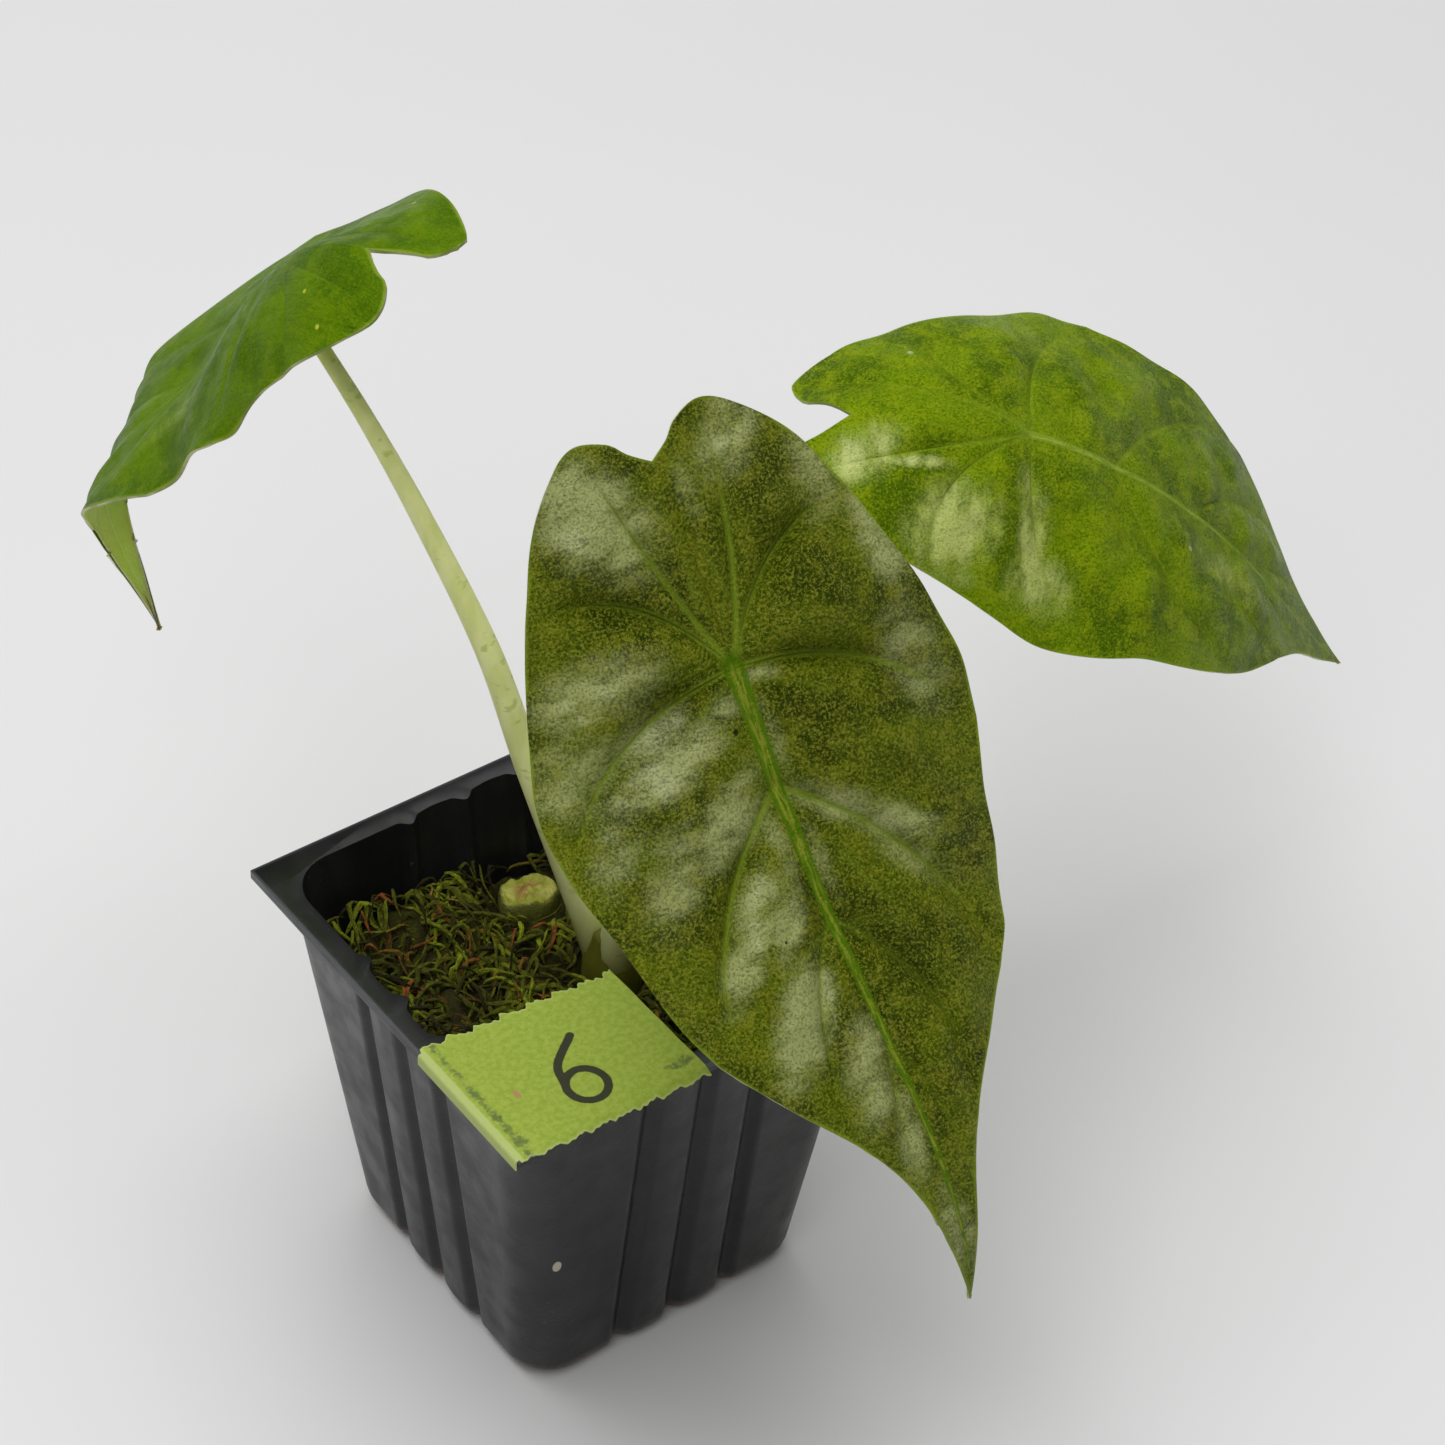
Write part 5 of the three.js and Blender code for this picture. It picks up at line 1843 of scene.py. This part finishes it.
def leaves() -> tuple[Leaf, Leaf, Leaf]:
    """Describe the left, front and right leaves."""
    under = UndersideFinish(
        "leaf_underside", pale=(0.42, 0.5, 0.13), shade=(0.34, 0.43, 0.09), rib=(0.5, 0.56, 0.2),
        tip=(0.26, 0.2, 0.04),
    )
    edge = EdgeFinish("leaf_edge", cream=(0.55, 0.56, 0.27), green=(0.24, 0.3, 0.06))
    near, far = Side.RIGHT, Side.LEFT
    left = Leaf(
        name="leaf_left_blade", node="leaf_left", hub=(-8.4, 48.0, 65.2), length=60.8,
        pitch=(5.7, 50.3, 62.3, 41.0, 103.7, 141.1), yaw=(106.1, 100.5, 154.2, 83.1), roll=(-2, 7.4, 0.7, 26.2),
        left=HalfBlade((26.9, 28.6, -14.8, 8.8), (33.6, 41.2, 23.2, 67.2)),
        right=HalfBlade((8.5, 1.8, 7.5, 17.2), (-15.4, -17.0, 1.6, 11.5)),
        lobes=(1.0, 1.1), notch=0.9, point=0.56,
        finish=LeafFinish(
            "leaf_left_face", deep=(0.06, 0.14, 0.0003), green=(0.1, 0.2, 0.0003), cloud=(0.15, 0.25, 0.001),
            grain=(0.2, 0.3, 0.004), fleck=(0.34, 0.42, 0.02), silver_and_sheen=(0.34, 0.46, 0.08),
            vein=(0.26, 0.36, 0.04), rib=(0.2, 0.34, 0.02),
            rib_shade=(0.12, 0.24, 0.005), tip=(0.2, 0.2, 0.03),
            clouds=0.5, flecks=0.4, cover=-0.15, silver_and_sheen_share=0.45,
            grit=0.35, veining=0.05, roughness=0.36, pebble=0.14, wrinkle=0.3, gloss=0.08,
            spots=(
                Spot(far, -0.27, 0.16, 0.3, (0.5, 0.55, 0.06)), Spot(near, -0.2, 0.2, 0.28, (0.5, 0.55, 0.06)),
                Spot(near, -0.12, 0.16, 0.25, (0.5, 0.5, 0.06)), Spot(far, -0.2, 0.1, 0.25, (0.5, 0.5, 0.06)),
            ),
        ),
        under=UndersideFinish(
            "leaf_left_underside", pale=(0.5, 0.56, 0.14), shade=(0.4, 0.48, 0.1), rib=(0.58, 0.64, 0.22),
            tip=(0.26, 0.17, 0.04),
        ),
        edge=edge, quilt=0.7, pucker=0.3, sunk=0.05, ribbed=0.35, rib_width=0.45, seed=3.0,
        # Patches of painted sheen; rows with strength below 0 are painted shade.
        light_patches=patches(
            near=[
                (0.2, 0.1, 0.12, 0.08, -0.6), (0.5, 0.05, 0.1, 0.05, 0.35),
            ],
            far=[
                (0.3, 0.12, 0.22, 0.03, 0.6), (0.05, 0.1, 0.1, 0.03, 0.4),
            ],
        ),
    )
    front = Leaf(
        name="leaf_front_blade", node="leaf_front", hub=(6, -18.2, 47.2), length=74.3,
        pitch=(47, 51, 47, 40, 52, 85), yaw=(-85, -91, -90, -85), roll=(10, 11, 3, 3),
        left=HalfBlade((-6, -3, -4, 0), (10, 11, 9, 13)), right=HalfBlade((0, 0, -2, 1), (13, 14, 13, 14)),
        lobes=(0.94, 0.97), notch=0.95, point=0.82,
        finish=LeafFinish(
            "leaf_front_face", deep=(0.042, 0.08, 0.0005), green=(0.16, 0.24, 0.002), cloud=(0.36, 0.4, 0.015),
            grain=(0.5, 0.54, 0.05), fleck=(0.58, 0.58, 0.08), silver_and_sheen=(0.84, 0.92, 0.35),
            vein=(0.42, 0.6, 0.04), rib=(0.5, 0.58, 0.05),
            rib_shade=(0.15, 0.34, 0.004), tip=(0.28, 0.32, 0.06),
            clouds=0.55, flecks=0.5, cover=-0.08, silver_and_sheen_share=0.9,
            grit=0.9, veining=0.8, roughness=0.32, pebble=1.2, wrinkle=0.35, gloss=0.26,
            spots=(
                Spot(near, 0.085, 0.033, 0.33, (0.004, 0.006, 0.002)),
                Spot(near, 0.385, 0.085, 0.2, (0.01, 0.02, 0.004)),
            ),
        ),
        under=under, edge=edge, quilt=2.2, pucker=0.7, sunk=0.5, ribbed=1.3, seed=5.0,
        # Patches of painted sheen; rows with strength below 0 are painted shade.
        light_patches=patches(
            near=[
                (-0.28, 0.12, 0.09, 0.08, 1.1), (-0.04, 0.2, 0.045, 0.1, 0.85), (0.06, 0.27, 0.06, 0.07, 0.65),
                (0.045, 0.15, 0.03, 0.06, 0.85), (0.1, 0.14, 0.035, 0.1, 0.95), (0.05, 0.035, 0.025, 0.03, 0.5),
                (0.2, 0.09, 0.05, 0.07, 0.85), (0.24, 0.19, 0.06, 0.06, 0.65), (0.33, 0.1, 0.05, 0.05, 0.7),
                (0.18, 0.25, 0.05, 0.05, 0.45), (0.36, 0.07, 0.04, 0.04, 1.0), (0.39, 0.15, 0.035, 0.05, 0.85),
                (0.5, 0.11, 0.055, 0.06, 1.4), (0.6, 0.05, 0.07, 0.045, 0.85), (0.7, 0.03, 0.07, 0.03, 0.65),
                (0.26, 0.03, 0.06, 0.02, 0.6), (0.87, 0.015, 0.07, 0.025, 0.7),
                (0.165, 0.17, 0.018, 0.08, -0.5), (0.01, 0.09, 0.015, 0.05, -0.4),
                (0.425, 0.055, 0.016, 0.03, -1.0), (-0.12, 0.12, 0.03, 0.08, -0.5),
                (-0.16, 0.04, 0.06, 0.025, -0.6),
            ],
            far=[
                (0.88, 0.01, 0.06, 0.02, 0.5), (-0.31, 0.12, 0.05, 0.07, 0.7), (-0.22, 0.22, 0.07, 0.045, 0.7),
                (-0.1, 0.27, 0.08, 0.035, 0.85), (0.08, 0.26, 0.09, 0.05, 0.6), (0.27, 0.12, 0.035, 0.1, 0.85),
                (0.36, 0.16, 0.04, 0.06, 0.5), (0.02, 0.03, 0.012, 0.03, 0.8), (0.12, 0.02, 0.07, 0.014, 0.45),
                (-0.26, 0.03, 0.05, 0.02, 0.35), (0.3, 0.02, 0.08, 0.014, 0.4), (-0.12, 0.12, 0.09, 0.07, -0.8),
                (0.1, 0.1, 0.06, 0.07, -0.5), (0.45, 0.07, 0.09, 0.07, -0.9), (0.22, 0.18, 0.03, 0.08, -0.7),
                (-0.15, 0.03, 0.06, 0.02, -0.6),
            ],
        ),
    )
    right = Leaf(
        name="leaf_right_blade", node="leaf_right", hub=(66.2, 4.2, 38.5), length=71.7,
        pitch=(-13, 25, 39, 49, 54, 48), yaw=(-40, -25, -12, 0), roll=(16, 22, 33, 41),
        left=HalfBlade((17, 8, -2, 0), (12, 20, 16, 11)), right=HalfBlade((12, 16, 0, 3), (18, 19, 13, 14)),
        lobes=(1.05, 1.06), notch=0.93, point=1.08,
        finish=LeafFinish(
            "leaf_right_face", deep=(0.08, 0.16, 0.0003), green=(0.17, 0.29, 0.0005), cloud=(0.29, 0.4, 0.003),
            grain=(0.34, 0.42, 0.014), fleck=(0.4, 0.46, 0.03), silver_and_sheen=(0.62, 0.7, 0.2),
            vein=(0.28, 0.4, 0.02), rib=(0.4, 0.5, 0.06),
            rib_shade=(0.24, 0.37, 0.02), tip=(0.24, 0.09, 0.03),
            clouds=0.6, flecks=0.4, cover=-0.12, silver_and_sheen_share=0.95,
            grit=0.7, veining=0.45, roughness=0.3, pebble=0.3, wrinkle=0.12, gloss=0.12,
            spots=(
                Spot(far, -0.2, 0.15, 0.4, (0.5, 0.55, 0.3)), Spot(near, 0.36, 0.08, 0.35, (0.5, 0.55, 0.3)),
            ),
        ),
        under=under, edge=edge, quilt=1.2, pucker=0.45, sunk=0.12, ribbed=0.4, rib_width=0.5, seed=7.0,
        # Patches of painted sheen; rows with strength below 0 are painted shade.
        light_patches=patches(
            near=[
                (-0.13, 0.18, 0.08, 0.07, 1.0), (0.0, 0.1, 0.02, 0.05, 0.6), (0.03, 0.18, 0.035, 0.09, 0.85),
                (0.06, 0.24, 0.07, 0.05, 0.7), (-0.29, 0.07, 0.06, 0.05, 0.8), (-0.2, 0.08, 0.06, 0.012, 0.7),
                (0.5, 0.07, 0.12, 0.035, 0.4), (-0.15, 0.26, 0.1, 0.02, 0.45),
            ],
            far=[
                (0.2, 0.1, 0.1, 0.07, 0.18), (0.06, 0.25, 0.08, 0.06, 0.2),
            ],
        ),
    )
    return left, front, right


def stalks_of(left: Leaf, front: Leaf, right: Leaf) -> list[Stalk]:
    """Describe the stalks that carry the leaves."""
    (cx, cy), base = CROWN_PLACE, ROOTS
    return [
        Stalk(
            left,
            [(cx - 0.3, cy + 0.9, base + 6), (cx - 0.3, cy + 1.6, RIM - 10), (1.3, 12.6, RIM + 12.9),
             (-0.7, 18.3, RIM + 27.4), (-3.6, 27.3, RIM + 42), (-5.9, 34.4, RIM + 51.8)],
            [2.5, 2.4, 1.8, 1.5, 1.25, 1.0, 0.85],
        ),
        Stalk(
            front,
            [(cx - 0.4, cy - 1, base + 6), (cx - 0.2, cy - 1.2, RIM - 8), (cx + 2.4, cy - 2, RIM + 12),
             (cx + 3.4, cy - 4.5, RIM + 30)],
            [2.5, 2.2, 1.7, 1.4, 1.2, 1.0],
        ),
        Stalk(
            right,
            [(cx + 1.1, cy, base + 6), (cx + 2, cy, RIM - 8), (cx + 14, cy + 3, RIM + 8),
             (cx + 38, cy + 6, RIM + 23)],
            [2.5, 2.2, 1.8, 1.5, 1.2, 1.0],
        ),
    ]


def main() -> None:
    """Build every piece in order and report it."""
    logging.basicConfig(level=logging.INFO, format="%(message)s")
    pot = SquarePot()
    pot.dress(pot.build())
    moss = MossBed(pot)
    moss.dress(moss.build())
    left, front, right = leaves()
    crown = Crown(stalks_of(left, front, right))
    crown.dress(crown.build())
    stub = CutStub()
    stub.dress(stub.build())
    for leaf in (left, front, right):
        leaf.dress(leaf.build())
    tape = TapeLabel()
    tape.dress(tape.build())
    Studio().build()


if __name__ == "__main__":
    main()
